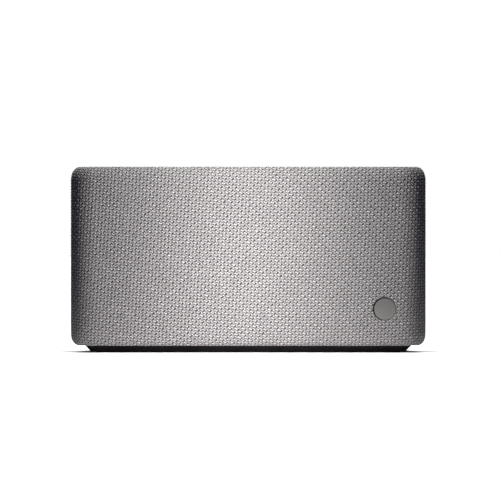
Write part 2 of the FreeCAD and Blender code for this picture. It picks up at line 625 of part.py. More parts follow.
# ---- drivers: built about the Y axis, flange face at y = 0, then set in the baffle ----
CONE_RIM = BASKET_RADIUS - 2 * ROLL_RADIUS - 0.4
COIL_IN = POLE_RADIUS + COIL_PLAY
COIL_OUT = COIL_IN + COIL_WALL
PLATE_Y = BASKET_DEPTH + BASKET_WALL
YOKE_Y = PLATE_Y + PLATE_THICK + MAGNET_THICK


def driver_basket():
    """Square flange, cone-shaped cage with four windows, ledge for the spider, terminal strip."""
    r, w, d = BASKET_RADIUS, BASKET_WALL, BASKET_DEPTH
    neck = MAGNET_RADIUS - 1
    hole = POLE_RADIUS + COIL_GAP
    cage = turned([(r - w, 0), (r, 0), (r, FLANGE_THICK), (neck, d), (neck, d + w), (hole, d + w), (hole, d),
                   (neck - w, d), (r - w, FLANGE_THICK)])
    flange = upright_plate(DRIVER_FLANGE, DRIVER_FLANGE, CABINET_CORNER, 0, FLANGE_THICK)
    flange = flange.cut(rod(r - w / 2, V(0, -PAST, 0), V(0, FLANGE_THICK + PAST, 0)))
    seat, edge = SPIDER_DEPTH + SPIDER_THICK, spider_radius()
    ledge = tube(edge + LEDGE, edge - SPIDER_RIM, V(0, seat, 0), V(0, seat + LEDGE, 0))
    windows = []
    for i in range(4):
        slot = box(3.0, r + 2, FLANGE_THICK + 1.2, SPIDER_DEPTH - 0.6, -4.5, 4.5)
        slot.rotate(ORIGIN, Y, 45 + 90 * i)
        windows.append(slot)
    strip = box(neck - PAST, neck + 5, d, d + w, -4, 4)
    body = joined([flange, cage.cut(windows), ledge, strip])
    holes = [rod(CLEAR_HOLE, V(x, -PAST, z), V(x, FLANGE_THICK + PAST, z))
             for x in (-DRIVER_SCREW, DRIVER_SCREW) for z in (-DRIVER_SCREW, DRIVER_SCREW)]
    return body.cut(holes)


def spider_radius():
    """The spider's outer radius, clear of the cage that narrows round it."""
    neck = MAGNET_RADIUS - 1
    share = (SPIDER_DEPTH - FLANGE_THICK) / (BASKET_DEPTH - FLANGE_THICK)
    return (BASKET_RADIUS + (neck - BASKET_RADIUS) * share) - BASKET_WALL - 0.9


def half_roll(middle, radius, inside, outside, half_length):
    """A surround: a half roll that bulges to -Y between two flat lips, round a straight-sided oval.

    The lips' fronts lie at y = 0. Inside and outside are the lips' edges.
    """
    wall, small = ROLL_WALL, radius - ROLL_WALL

    def at(x, z):
        return V(x, 0, z)

    def lip(edge, side):
        near, far = middle + side * small, middle + side * radius
        return [at(near, 0), at(near, wall), at(edge, wall), at(edge, 0), at(far, 0)]

    inner, outer = lip(inside, -1), lip(outside, 1)
    edges = [Part.makeLine(a, b) for run in (inner, outer) for a, b in zip(run, run[1:])]
    edges.append(Part.Arc(inner[0], at(middle, -small), outer[0]).toShape())
    edges.append(Part.Arc(inner[-1], at(middle, -radius), outer[-1]).toShape())
    band = carried_round(Part.Face(Part.Wire(Part.__sortEdges__(edges))), half_length, 0.0)
    band.rotate(ORIGIN, X, -90)
    return band


def driver_pieces():
    """One driver's pieces by name, and which of them move."""
    iron = MAGNET_RADIUS - 0.5
    plate = tube(iron, POLE_RADIUS + COIL_GAP, V(0, PLATE_Y, 0), V(0, PLATE_Y + PLATE_THICK, 0))
    magnet = tube(MAGNET_RADIUS, MAGNET_HOLE, V(0, PLATE_Y + PLATE_THICK, 0), V(0, YOKE_Y, 0))
    yoke = joined([rod(iron, V(0, YOKE_Y, 0), V(0, YOKE_Y + PLATE_THICK, 0)),
                   rod(POLE_RADIUS, V(0, PLATE_Y, 0), V(0, YOKE_Y + 0.5, 0))])
    yoke = yoke.cut(rod(1.5, V(0, 0, 0), V(0, YOKE_Y + PLATE_THICK + PAST, 0)))
    coil = tube(COIL_OUT, COIL_IN, V(0, CONE_DEPTH, 0), V(0, PLATE_Y + PLATE_THICK + 1.5, 0))
    crease, depth = CONE_RIM - CONE_LIP, CONE_DEPTH
    former, front = COIL_OUT + JOIN_GAP, JOIN_GAP
    cone = turned([(CONE_RIM, front), (CONE_RIM, front + CONE_WALL), (crease, front + CONE_WALL),
                   (former, depth + 2 * CONE_WALL), (former, depth), (crease, front)])
    cap_r, cap_y, rise = COIL_OUT + 1.2, CONE_DEPTH - 1.0, 2.6
    sphere = (cap_r ** 2 + rise ** 2) / (2 * rise)
    centre = V(0, cap_y - rise + sphere, 0)
    ball = Part.makeSphere(sphere, centre).cut(Part.makeSphere(sphere - CONE_WALL, centre))
    cap = ball.common(rod(cap_r, V(0, cap_y - rise - PAST, 0), V(0, cap_y - CONE_WALL, 0)))
    middle = (CONE_RIM + BASKET_RADIUS) / 2
    surround = half_roll(middle, ROLL_RADIUS, crease, BASKET_RADIUS + SURROUND_RIM, 0.0)
    surround.translate(V(0, -ROLL_WALL, 0))
    reach, y = spider_radius() - SPIDER_RIM - former, SPIDER_DEPTH
    top = [(former + reach * i / SPIDER_FOLDS, y - SPIDER_WAVE * (i % 2)) for i in range(SPIDER_FOLDS + 1)]
    top.append((spider_radius(), y))
    spider = turned(top + [(px, py + SPIDER_THICK) for px, py in reversed(top)])
    fixed = {"basket": driver_basket(), "top_plate": plate, "magnet": magnet, "yoke": yoke,
             "surround": surround, "spider": spider}
    return {**fixed, "voice_coil": coil, "cone": cone, "dust_cap": cap}


def set_driver(shape, side):
    """Places a driver's piece in the baffle, its terminal strip towards the middle."""
    placed = shape.copy()
    if side > 0:
        placed.rotate(ORIGIN, Y, 180)
    placed.translate(V(side * DRIVER_X, -CABINET_Y, DRIVER_Z))
    return placed


def driver_screws():
    into = V(0, BAFFLE + SCREW_BITE - 0.5, 0)
    return Part.makeCompound([screw(V(x, -CABINET_Y, z), into) for x, z in driver_screw_places()])


# ---- passive radiator, on the cabinet's back ----
def radiator():
    """Frame, half-roll surround and piston."""
    length, height = RADIATOR_LENGTH, RADIATOR_HEIGHT
    y0, y1 = CABINET_Y, CABINET_Y + RADIATOR_FRAME
    inner = RADIATOR_FLANGE
    frame = upright_plate(length, height, height, y0, y1, 0, DRIVER_Z)
    opening = upright_plate(length - 2 * inner, height - 2 * inner, height, y0 - PAST, y1 + PAST, 0, DRIVER_Z)
    frame = frame.cut(opening)
    frame = frame.cut([rod(CLEAR_HOLE, V(x, y0 - PAST, z), V(x, y1 + PAST, z))
                       for x, z in radiator_screw_places()])
    half, rim = length / 2 - height / 2, height / 2 - inner
    mid = rim - RADIATOR_ROLL - 0.6
    inside = mid - RADIATOR_ROLL - 1.6
    surround = half_roll(mid, RADIATOR_ROLL, inside, rim - JOIN_GAP, half)
    surround.translate(V(0, y0 + ROLL_WALL, DRIVER_Z))
    edge, face = inside + 1.4, y0 + ROLL_WALL - JOIN_GAP
    piston = upright_plate(2 * (half + edge), 2 * edge, height, face - PISTON_THICK, face, 0, DRIVER_Z)
    return frame, surround, piston


def radiator_screws():
    into = V(0, -RADIATOR_FRAME - CABINET_WALL + 0.4, 0)
    y = CABINET_Y + RADIATOR_FRAME
    return Part.makeCompound([screw(V(x, y, z), into) for x, z in radiator_screw_places()])


# ---- key panel, keys and key board ----
def mic_places():
    x = KEY_X[-1] + KEY_BOARD_END / 2
    return [(sx * x, sy * MIC_Y) for sx in (-1, 1) for sy in (-1, 1)]


def light_place():
    return KEY_X[0] - LIGHT_OFFSET, 0.0


def key_plan(x, grow, z0, z1):
    return level_plate(KEY_LENGTH + 2 * grow, KEY_WIDTH + 2 * grow, KEY_WIDTH, z0, z1, x, 0)


def top_panel():
    plate = outline(PANEL_IN, PANEL_FOOT, PANEL_TOP)
    rim = PANEL_FOOT - PANEL_SKIRT
    skirt = outline(PANEL_IN, rim, PANEL_FOOT + 0.5)
    skirt = skirt.cut(outline(PANEL_IN + SKIRT_WALL, rim - PAST, PANEL_TOP))
    pegs = [rod(PEG_RADIUS, V(x, y, CABINET_TOP - PEG_SUNK), V(x, y, PANEL_FOOT + 0.5))
            for x, y in panel_peg_places()]
    body = joined([plate, skirt] + pegs)
    cuts = [key_plan(x, KEY_PLAY, PANEL_FOOT - PAST, PANEL_TOP + PAST) for x in KEY_X]
    cuts += [rod(MIC_HOLE, V(x, y, PANEL_FOOT - PAST), V(x, y, PANEL_TOP + PAST)) for x, y in mic_places()]
    lx, ly = light_place()
    cuts.append(rod(LIGHT_RADIUS + JOIN_GAP, V(lx, ly, PANEL_FOOT - PAST), V(lx, ly, PANEL_TOP + PAST)))
    return body.cut(cuts)


def key(x):
    """Key cap with a lip under the panel and a stem that is guided in its switch."""
    top = PANEL_TOP + KEY_PROUD
    cap = key_plan(x, 0.0, LIP_TOP - 0.2, top)
    upper = [e for e in cap.Edges if abs(e.CenterOfMass.z - top) < 1e-6]
    cap = cap.makeFillet(0.35, upper)
    lip = key_plan(x, KEY_LIP, LIP_TOP - KEY_LIP_THICK, LIP_TOP)
    stem = rod(KEY_STEM, V(x, 0, SWITCH_TOP - SWITCH_BITE), V(x, 0, LIP_TOP - KEY_LIP_THICK / 2))
    return joined([cap, lip, stem])


def key_board():
    length = KEY_X[-1] - KEY_X[0] + 2 * KEY_BOARD_END
    plate = level_plate(length, KEY_BOARD_WIDTH, 2.0, KEY_BOARD_FOOT, KEY_BOARD_TOP)
    half = RIBBON_WIDTH / 2 + 0.5
    plate = plate.fuse(box(RIBBON_X - half, RIBBON_X + half, RIBBON_PLUG_Y - PLUG_LENGTH, RIBBON_PLUG_Y,
                           RIBBON_TOP - 0.8, KEY_BOARD_FOOT))
    return plate.cut([rod(MIC_HOLE, V(x, y, KEY_BOARD_FOOT - PAST), V(x, y, KEY_BOARD_TOP + PAST))
                      for x, y in mic_places()])


def tact_switches():
    """A square switch under each key, bored for the key's stem, which works its spring."""
    half, floor = SWITCH_SIDE / 2, SWITCH_TOP - SWITCH_BITE - KEY_TRAVEL - SWITCH_CLEAR
    bodies = [box(x - half, x + half, -half, half, KEY_BOARD_TOP, SWITCH_TOP) for x in KEY_X]
    bores = [rod(KEY_STEM + STEM_PLAY, V(x, 0, floor), V(x, 0, SWITCH_TOP + PAST)) for x in KEY_X]
    return Part.makeCompound([body.cut(bore) for body, bore in zip(bodies, bores)])


def microphone_boots():
    """Rubber tubes that carry each hole in the panel down to its microphone."""
    return Part.makeCompound([tube(MIC_BOOT, MIC_HOLE, V(x, y, KEY_BOARD_TOP), V(x, y, PANEL_FOOT))
                              for x, y in mic_places()])


def status_light_pipe():
    x, y = light_place()
    foot = KEY_BOARD_TOP + LIGHT_LIFT
    stem = rod(LIGHT_RADIUS, V(x, y, foot), V(x, y, PANEL_TOP))
    return joined([stem, rod(LIGHT_RADIUS + LIGHT_COLLAR, V(x, y, foot), V(x, y, LIP_TOP))])


# ---- electronics ----
def main_board():
    middle = (BOARD_Y0 + BOARD_Y1) / 2
    plate = level_plate(BOARD_LENGTH, BOARD_Y1 - BOARD_Y0, 1.5, BOARD_FOOT, BOARD_TOP, 0, middle)
    chips = [box(-12, 0, BOARD_Y0 + 5, BOARD_Y0 + 17, BOARD_TOP - 0.5, BOARD_TOP + 1.4),
             box(-24, -16, BOARD_Y0 + 7, BOARD_Y0 + 14, BOARD_TOP - 0.5, BOARD_TOP + 1.0)]
    chips.append(box(RIBBON_X - RIBBON_WIDTH / 2 - 0.5, RIBBON_X + RIBBON_WIDTH / 2 + 0.5,
                     RIBBON_END - PLUG_LENGTH, RIBBON_END, BOARD_TOP - 0.5, BOARD_TOP + PLUG_HEIGHT))
    y = BOARD_Y0 + 8
    chips += [rod(3.0, V(x, y, BOARD_TOP - 0.5), V(x, y, BOARD_TOP + 9)) for x in (36, 43)]
    holes = [rod(CLEAR_HOLE, V(x, y, BOARD_FOOT - PAST), V(x, y, BOARD_TOP + PAST))
             for x, y in standoff_places()]
    return joined([plate] + chips).cut(holes)


def board_screws():
    into = V(0, 0, -BOARD_THICK - BOARD_LIFT + 0.4)
    return Part.makeCompound([screw(V(x, y, BOARD_TOP), into) for x, y in standoff_places()])


def amplifier_heat_sink():
    y0, y1 = BOARD_Y0 + 4, BOARD_Y0 + 4 + SINK_WIDTH
    base = box(SINK_X, SINK_X + FIN + FIN_PITCH * (FIN_COUNT - 1), y0, y1, BOARD_TOP, BOARD_TOP + 2)
    starts = [SINK_X + FIN_PITCH * i for i in range(FIN_COUNT)]
    fins = [box(x, x + FIN, y0, y1, BOARD_TOP + PAST, BOARD_TOP + SINK_HEIGHT) for x in starts]
    return joined([base] + fins)


def wireless_shield_can():
    y0 = BOARD_Y0 + 3
    can = box(6, 30, y0, y0 + 18, BOARD_TOP, BOARD_TOP + 2.8)
    return can.makeFillet(0.6, [e for e in can.Edges if abs(e.Vertexes[0].Z - e.Vertexes[-1].Z) > 1])


def dc_jack():
    """Charging socket with its centre pin."""
    y0, half = PORT_FACE - PORT_LENGTH, DC_WIDTH / 2
    body = box(DC_X - half, DC_X + half, y0, PORT_FACE, BOARD_TOP, PORT_Z + half)
    body = body.cut(rod(DC_BORE, V(DC_X, y0 + PORT_BACK, PORT_Z), V(DC_X, PORT_FACE + PAST, PORT_Z)))
    return body.fuse(rod(DC_PIN, V(DC_X, y0 + PORT_BACK - 0.5, PORT_Z), V(DC_X, PORT_FACE - 1, PORT_Z)))


def usb_port():
    """Folded steel shell, plastic tongue and foot."""
    y0, a, b = PORT_FACE - PORT_LENGTH, USB_WIDTH / 2, USB_HEIGHT / 2
    shell = box(USB_X - a, USB_X + a, y0, PORT_FACE, PORT_Z - b, PORT_Z + b)
    shell = shell.cut(box(USB_X - a + USB_SHEET, USB_X + a - USB_SHEET, y0 + PORT_BACK, PORT_FACE + 1,
                          PORT_Z - b + USB_SHEET, PORT_Z + b - USB_SHEET))
    top = PORT_Z + b - 1.2
    tongue = box(USB_X - 5.5, USB_X + 5.5, y0 + PORT_BACK - 0.5, PORT_FACE - 1.2, top - USB_TONGUE, top)
    foot = box(USB_X - a + 1, USB_X + a - 1, y0, BOARD_Y1 - 0.5, BOARD_TOP, PORT_Z - b + 0.1)
    return joined([shell, tongue, foot])


def aux_jack():
    """3.5 mm audio socket: square body and round nose."""
    y0, half = PORT_FACE - PORT_LENGTH, AUX_WIDTH / 2
    body = box(AUX_X - half, AUX_X + half, y0 - PORT_BACK, PORT_FACE - 3, BOARD_TOP, PORT_Z + 2.8)
    nose = rod(AUX_NOSE, V(AUX_X, PORT_FACE - 4, PORT_Z), V(AUX_X, PORT_FACE, PORT_Z))
    return joined([body, nose]).cut(rod(AUX_BORE, V(AUX_X, y0, PORT_Z), V(AUX_X, PORT_FACE + PAST, PORT_Z)))


def connector_panel():
    """Recessed panel round the ports, behind the cloth's turned edge."""
    plate = port_window(0.0, PORT_PANEL_Y0, PORT_PANEL_Y1)
    play = PORT_PLAY
    y0, y1 = PORT_PANEL_Y0 - PAST, PORT_PANEL_Y1 + PAST
    cuts = [upright_plate(DC_WIDTH + 2 * play, DC_WIDTH + 2 * play, 1.0, y0, y1, DC_X, PORT_Z),
            upright_plate(USB_WIDTH + 2 * play, USB_HEIGHT + 2 * play, 0.8, y0, y1, USB_X, PORT_Z),
            rod(AUX_NOSE + play, V(AUX_X, y0, PORT_Z), V(AUX_X, y1, PORT_Z))]
    for s in (-1, 1):
        x = s * PANEL_SCREW_X
        cuts.append(rod(CLEAR_HOLE, V(x, y0, PORT_Z), V(x, y1, PORT_Z)))
        seat = V(x, PORT_PANEL_Y1 - HEAD_HEIGHT, PORT_Z)
        cuts.append(rod(HEAD_RADIUS + SCREW_PLAY, seat, V(x, y1, PORT_Z)))
    return plate.cut(cuts)


def panel_screws():
    into = V(0, -(PORT_PANEL_THICK - HEAD_HEIGHT) - SCREW_BITE, 0)
    y = PORT_PANEL_Y1 - HEAD_HEIGHT
    return Part.makeCompound([screw(V(s * PANEL_SCREW_X, y, PORT_Z), into) for s in (-1, 1)])


def cell_places():
    """(y, z) of each cell's axis, one above the other behind the baffle."""
    y = BAFFLE_BACK + TRAY_OFF + TRAY_WALL + CELL_PLAY + CELL_RADIUS
    first = CHAMBER_FLOOR + TRAY_WALL + CELL_PLAY + CELL_RADIUS
    return [(y, first), (y, first + 2 * CELL_RADIUS + CELL_PLAY)]


def battery_cells():
    half = CELL_LENGTH / 2
    return Part.makeCompound([rod(CELL_RADIUS, V(-half, y, z), V(half, y, z)) for y, z in cell_places()])


def battery_tray():
    """Open trough on the shelf; the upper cell stands proud of its walls."""
    (y, _), (_, high) = cell_places()
    half, side = CELL_LENGTH / 2 + CELL_PLAY, CELL_RADIUS + CELL_PLAY
    w = TRAY_WALL
    rim = high - TRAY_DROP
    outer = box(-half - w, half + w, y - side - w, y + side + w, CHAMBER_FLOOR, rim)
    return outer.cut(box(-half, half, y - side, y + side, CHAMBER_FLOOR + w, rim + PAST))


# ---- wiring ----
def lead_places():
    """Where the two speaker leads rise through the shelf."""
    y = BAFFLE_BACK + TRAY_OFF + 2 * (TRAY_WALL + CELL_PLAY + CELL_RADIUS) + LEAD_RADIUS + LEAD_OFF_TRAY
    return [(s * (CELL_LENGTH / 2), y) for s in (-1, 1)]


def speaker_leads():
    """Each lead rises from the board through the shelf and bends out to its driver's strip."""
    leads = []
    strip_y = -CABINET_Y + BASKET_DEPTH + BASKET_WALL + LEAD_RADIUS
    for side, (x, y) in zip((-1, 1), lead_places()):
        end_x = side * (DRIVER_X - MAGNET_RADIUS - 2.5)
        corner, end = V(x, y, DRIVER_Z), V(end_x, strip_y, DRIVER_Z)
        out = (end - corner)
        reach = min(LEAD_BEND, 0.8 * out.Length)
        out.normalize()
        foot, turn0, turn1 = V(x, y, BOARD_TOP), V(x, y, DRIVER_Z - reach), corner + out * reach
        centre = turn0 + out * reach
        middle = centre + (corner - centre) / (corner - centre).Length * reach
        path = Part.Wire([Part.makeLine(foot, turn0), Part.Arc(turn0, middle, turn1).toShape(),
                          Part.makeLine(turn1, end)])
        ring = Part.Wire([Part.makeCircle(LEAD_RADIUS, foot, Z)])
        leads.append(path.makePipeShell([ring], True, False))
    return Part.makeCompound(leads)


def key_ribbon():
    """Flat cable: from the key board over the cabinet's back edge, down and in through its slot."""
    bend, slope = RIBBON_BEND, math.sqrt(0.5) * RIBBON_BEND

    def at(y, z):
        return V(RIBBON_X, y, z)

    high, low = at(RIBBON_Y - bend, RIBBON_TOP - bend), at(RIBBON_Y - bend, RIBBON_FOOT + bend)
    start, end = at(RIBBON_PLUG_Y, RIBBON_TOP), at(RIBBON_END, RIBBON_FOOT)
    over, down = at(high.y, RIBBON_TOP), at(RIBBON_Y, high.z)
    turn, inward = at(RIBBON_Y, low.z), at(low.y, RIBBON_FOOT)
    path = Part.Wire([Part.makeLine(start, over), Part.Arc(over, high + V(0, slope, slope), down).toShape(),
                      Part.makeLine(down, turn), Part.Arc(turn, low + V(0, slope, -slope), inward).toShape(),
                      Part.makeLine(inward, end)])
    half, w = V(0, 0, RIBBON_THICK / 2), V(RIBBON_WIDTH / 2, 0, 0)
    loop = [start - w - half, start + w - half, start + w + half, start - w + half]
    return path.makePipeShell([Part.makePolygon(loop + loop[:1])], True, False)


# ---- the whole speaker, one STEP file for each named piece ----
def all_pieces():
    front, rear = half_shells()
    frame, surround, piston = radiator()
    pieces = {
        "fabric_sleeve": fabric_sleeve(), "front_shell": front, "rear_shell": rear,
        "shell_screws": shell_screws(),
        "badge_disc": badge_disc(), "base_plinth": base_plinth(), "foot_pad": foot_pad(),
        "plinth_screws": plinth_screws(), "cabinet_tub": cabinet_tub(), "front_baffle": front_baffle(),
        "baffle_gasket": baffle_gasket(), "baffle_screws": baffle_screws(), "driver_screws": driver_screws(),
        "radiator_frame": frame, "radiator_surround": surround, "radiator_piston": piston,
        "radiator_screws": radiator_screws(), "top_panel": top_panel(), "key_board": key_board(),
        "tact_switches": tact_switches(), "microphone_boots": microphone_boots(),
        "status_light_pipe": status_light_pipe(), "main_board": main_board(), "board_screws": board_screws(),
        "amplifier_heat_sink": amplifier_heat_sink(), "wireless_shield_can": wireless_shield_can(),
        "dc_jack": dc_jack(), "usb_port": usb_port(), "aux_jack": aux_jack(),
        "connector_panel": connector_panel(),
        "panel_screws": panel_screws(), "battery_cells": battery_cells(), "battery_tray": battery_tray(),
        "speaker_leads": speaker_leads(), "key_ribbon": key_ribbon(),
    }
    for name, x in zip(KEY_NAMES, KEY_X):
        pieces[name] = key(x)
    for name, shape in driver_pieces().items():
        pieces["left_" + name] = set_driver(shape, -1)
        pieces["right_" + name] = set_driver(shape, 1)
    return pieces


def main():
    os.makedirs("parts", exist_ok=True)
    for name, shape in all_pieces().items():
        solids = shape.Solids
        state = "valid" if shape.isValid() else "NOT VALID"
        print(name, len(solids), "solids", round(shape.Volume, 1), "mm3", state)
        shape.exportStep("parts/" + name + ".step")


main()
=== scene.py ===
"""A small smart speaker wrapped in woven wool cloth, finished as it leaves the workshop.

The CAD assembly is the frame: every piece below sits where the assembly puts it and rides on one of
its bodies. Metres. +Z up, the front faces -Y.
"""
import bpy
import math
import numpy as np
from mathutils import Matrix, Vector


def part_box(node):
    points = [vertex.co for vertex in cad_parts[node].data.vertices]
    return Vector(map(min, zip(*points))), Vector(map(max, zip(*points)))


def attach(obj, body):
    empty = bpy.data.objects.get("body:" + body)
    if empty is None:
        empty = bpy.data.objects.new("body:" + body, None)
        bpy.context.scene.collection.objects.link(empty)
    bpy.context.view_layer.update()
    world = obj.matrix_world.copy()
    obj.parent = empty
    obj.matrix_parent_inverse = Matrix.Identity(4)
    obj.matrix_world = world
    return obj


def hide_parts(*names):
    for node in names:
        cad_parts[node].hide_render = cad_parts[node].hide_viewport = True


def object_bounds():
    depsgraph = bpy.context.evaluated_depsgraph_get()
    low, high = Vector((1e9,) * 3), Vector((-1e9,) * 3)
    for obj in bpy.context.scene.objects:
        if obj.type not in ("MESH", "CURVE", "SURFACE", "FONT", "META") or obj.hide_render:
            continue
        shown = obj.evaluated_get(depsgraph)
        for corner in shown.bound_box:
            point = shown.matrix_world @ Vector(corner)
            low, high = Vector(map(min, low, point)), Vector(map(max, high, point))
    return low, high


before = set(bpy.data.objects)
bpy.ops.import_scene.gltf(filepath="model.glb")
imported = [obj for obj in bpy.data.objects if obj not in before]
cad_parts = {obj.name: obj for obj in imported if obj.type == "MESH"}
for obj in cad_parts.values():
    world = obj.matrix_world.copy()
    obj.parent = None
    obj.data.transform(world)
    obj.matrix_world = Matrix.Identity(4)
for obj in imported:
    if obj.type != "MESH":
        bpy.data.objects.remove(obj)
cad_low, cad_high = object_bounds()
mm = 0.001

# ---- The table and the light ----
# The speaker stands on a seamless pale sweep. One narrow upright softbox hangs close before the
# middle of its face, so the cloth is brightest there and falls off dark towards both ends.
scene = bpy.context.scene
scene.view_settings.view_transform = "Standard"

camera_data = bpy.data.cameras.new("studio_camera")
camera_data.lens, camera_data.sensor_width = 300.0, 36.0
camera_data.clip_start, camera_data.clip_end = 0.05, 60.0
camera = bpy.data.objects.new("studio_camera", camera_data)
camera.location = (1.0 * mm, -2414.0 * mm, 58.8 * mm)
camera.rotation_euler = (math.radians(90.0), 0.0, 0.0)
scene.collection.objects.link(camera)
scene.camera = camera


def softbox(name, place, aim, width, height, power, tint=(1.0, 1.0, 1.0)):
    light = bpy.data.lights.new(name, "AREA")
    light.shape, light.size, light.size_y = "RECTANGLE", width, height
    light.energy, light.color = power, tint
    lamp = bpy.data.objects.new(name, light)
    lamp.location = place
    lamp.rotation_euler = (Vector(aim) - Vector(place)).to_track_quat("-Z", "Y").to_euler()
    lamp.visible_camera = False
    scene.collection.objects.link(lamp)


FRONT = cad_low.y
softbox("front_strip", (-0.001, FRONT - 0.080, 0.053), aim=(-0.001, 0.0, 0.053), width=0.034, height=0.30,
        power=0.256, tint=(1.0, 0.985, 0.975))
softbox("back_strip", (0.0, -FRONT + 0.16, 0.12), aim=(0.0, 0.0, 0.05), width=0.10, height=0.30, power=0.55)
softbox("overhead", (0.0, 0.02, 0.55), aim=(0.0, 0.0, 0.1), width=0.16, height=0.30, power=1.6)

sweep_mesh = bpy.data.meshes.new("sweep")
sweep_mesh.from_pydata([(-14, -10, 0), (14, -10, 0), (14, 30, 0), (-14, 30, 0)], [], [(0, 1, 2, 3)])
sweep = bpy.data.objects.new("sweep", sweep_mesh)
scene.collection.objects.link(sweep)


def plug(value, socket):
    """Joins a socket to another node's output, or sets it."""
    if isinstance(value, bpy.types.NodeSocket):
        socket.id_data.links.new(value, socket)
    elif value is not None:
        socket.default_value = (*value, 1.0) if socket.type == "RGBA" else value


def feed(node, **values):
    """Sets or joins a node's sockets by name, with _ for a space."""
    for label, value in values.items():
        plug(value, node.inputs[label.replace("_", " ")])


def add_node(kind, *values, **settings):
    """A node in the tree that the given outputs belong to, with its sockets fed in turn."""
    tree = next(v.id_data for v in values if isinstance(v, bpy.types.NodeSocket))
    node = tree.nodes.new(kind)
    for name, setting in settings.items():
        setattr(node, name, setting)
    for value, socket in zip(values, node.inputs):
        plug(value, socket)
    return node


def object_place(tree):
    return tree.nodes.new("ShaderNodeTexCoord").outputs["Object"]


def vector(kind, *values):
    node = add_node("ShaderNodeVectorMath", *values, operation=kind)
    return node.outputs["Value" if kind in ("LENGTH", "DOT_PRODUCT") else "Vector"]


def ramp(value, low, high, to_low=0.0, to_high=1.0, kind="SMOOTHSTEP"):
    return add_node("ShaderNodeMapRange", value, low, high, to_low, to_high, interpolation_type=kind).outputs[0]


def blend_colour(amount, first, second, kind="MIX"):
    not_colours = [None] * 5
    node = add_node("ShaderNodeMix", amount, *not_colours, first, second, data_type="RGBA", blend_type=kind)
    return node.outputs[2]


def show_camera(seen, otherwise, output):
    """Gives the camera one shader and every other ray the other."""
    ray = seen.id_data.nodes.new("ShaderNodeLightPath").outputs["Is Camera Ray"]
    either = add_node("ShaderNodeMixShader", ray, otherwise.outputs[0], seen.outputs[0])
    add_node(output, either.outputs[0])


paper = bpy.data.materials.new("sweep_paper")
paper.use_nodes = True
tree = paper.node_tree
tree.nodes.clear()
seen, bounced = (tree.nodes.new("ShaderNodeBsdfDiffuse") for _ in range(2))
feed(seen, Color=(0.93, 0.93, 0.93))
# The paper looks evenly pale to the camera. To every other ray it is painted dark beyond a hand's breadth, a
# painted shade so that little light bounces back from it.
FULL_BOUNCE_TO, BOUNCE_CUT_FROM = 0.078, 0.140
bounce_cut = ramp(vector("LENGTH", object_place(tree)), FULL_BOUNCE_TO, BOUNCE_CUT_FROM, kind="LINEAR")
feed(bounced, Color=blend_colour(bounce_cut, (0.66, 0.638, 0.65), (0.046, 0.043, 0.056)))
show_camera(seen, bounced, "ShaderNodeOutputMaterial")
sweep_mesh.materials.append(paper)

wash = bpy.data.lights.new("sweep_wash", "SUN")
wash.energy, wash.angle = 3.9, math.radians(110.0)
wash_lamp = bpy.data.objects.new("sweep_wash", wash)
wash_lamp.location = (0.0, 0.0, 1.0)
scene.collection.objects.link(wash_lamp)
lit_paper = bpy.data.collections.new("lit_paper")
lit_paper.objects.link(sweep)
wash_lamp.light_linking.receiver_collection = lit_paper

room = bpy.data.worlds.new("studio")
room.use_nodes = True
tree = room.node_tree
tree.nodes.clear()
dim, bright = (tree.nodes.new("ShaderNodeBackground") for _ in range(2))
feed(dim, Color=(0.95, 0.92, 1.18), Strength=0.017)
feed(bright, Color=(1.0, 1.0, 1.0))
show_camera(bright, dim, "ShaderNodeOutputWorld")
scene.world = room

# ---- The cloth sleeve: its shape ----
# One length of wool-look cloth, woven from a thick pale weft and a thinner grey warp, stretched round
# both shells and bonded. It is tucked down round the key panel and turned in under the body.
sleeve_low, sleeve_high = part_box("fabric_sleeve")
EDGE = 14.4 * mm
CROWN_IN, CROWN_DOWN, HEM_IN, HEM_UP = 4.8 * mm, 7.5 * mm, 4.4 * mm, 6.5 * mm
TUCK_IN, TUCK_DEPTH, FOLD, TURN_END = 6.3 * mm, 3.0 * mm, 0.8 * mm, 9.0 * mm
REPEAT_WIDE, REPEAT_HIGH = 4.10 * mm, 3.31 * mm
WARP_LEAN = 0.060
STEPS = 8                         # mesh steps to one repeat of the weave, each way

HALF_FRONT = sleeve_high.x - EDGE
HALF_SIDE = sleeve_high.y - EDGE
CORNER = math.pi * EDGE / 2
HALF_ROUND = 2 * HALF_FRONT + 2 * CORNER + 2 * HALF_SIDE


def cloth_section():
    """The cloth from its tucked top edge to its turned-in bottom edge: how far in, and how high."""
    top, foot = sleeve_high.z, sleeve_low.z
    turn = np.linspace(0.0, math.pi / 2, 33)
    inset = [TUCK_IN, *(TUCK_IN - FOLD + FOLD * np.cos(turn)), *(CROWN_IN - CROWN_IN * np.sin(turn)),
             *(HEM_IN - HEM_IN * np.cos(turn)), TURN_END]
    height = [top - TUCK_DEPTH, *(top - FOLD + FOLD * np.sin(turn)),
              *(top - CROWN_DOWN + CROWN_DOWN * np.cos(turn)), *(foot + HEM_UP - HEM_UP * np.sin(turn)), foot]
    along = np.concatenate([[0.0], np.cumsum(np.hypot(np.diff(inset), np.diff(height)))])
    even = np.linspace(0.0, along[-1], 2400)
    inset, height = np.interp(even, along, inset), np.interp(even, along, height)
    return even, inset, height, np.gradient(inset, even), np.gradient(height, even)


DOWN, INSET, HEIGHT, INSET_RATE, HEIGHT_RATE = cloth_section()
SECTION = DOWN[-1]
FACE_MIDDLE_Z = 0.0552
MIDDLE = float(np.interp(0.0, FACE_MIDDLE_Z - HEIGHT, DOWN))     # how far down the cloth that is

# The weft was laid on by hand, so its lines bow: they run downhill at the left and uphill at the right.
round_places = np.linspace(-HALF_ROUND, HALF_ROUND, 801)
weft_slope = np.interp(round_places / mm, [-254, -190, -98, 0, 98, 190, 254],
                       [0.5, 1.5, 5.0, 2.3, -2.6, -1.0, 0.5])
weft_drop = np.cumsum(np.tan(np.radians(weft_slope))) * (round_places[1] - round_places[0])
weft_drop -= np.interp(0.0, round_places, weft_drop)


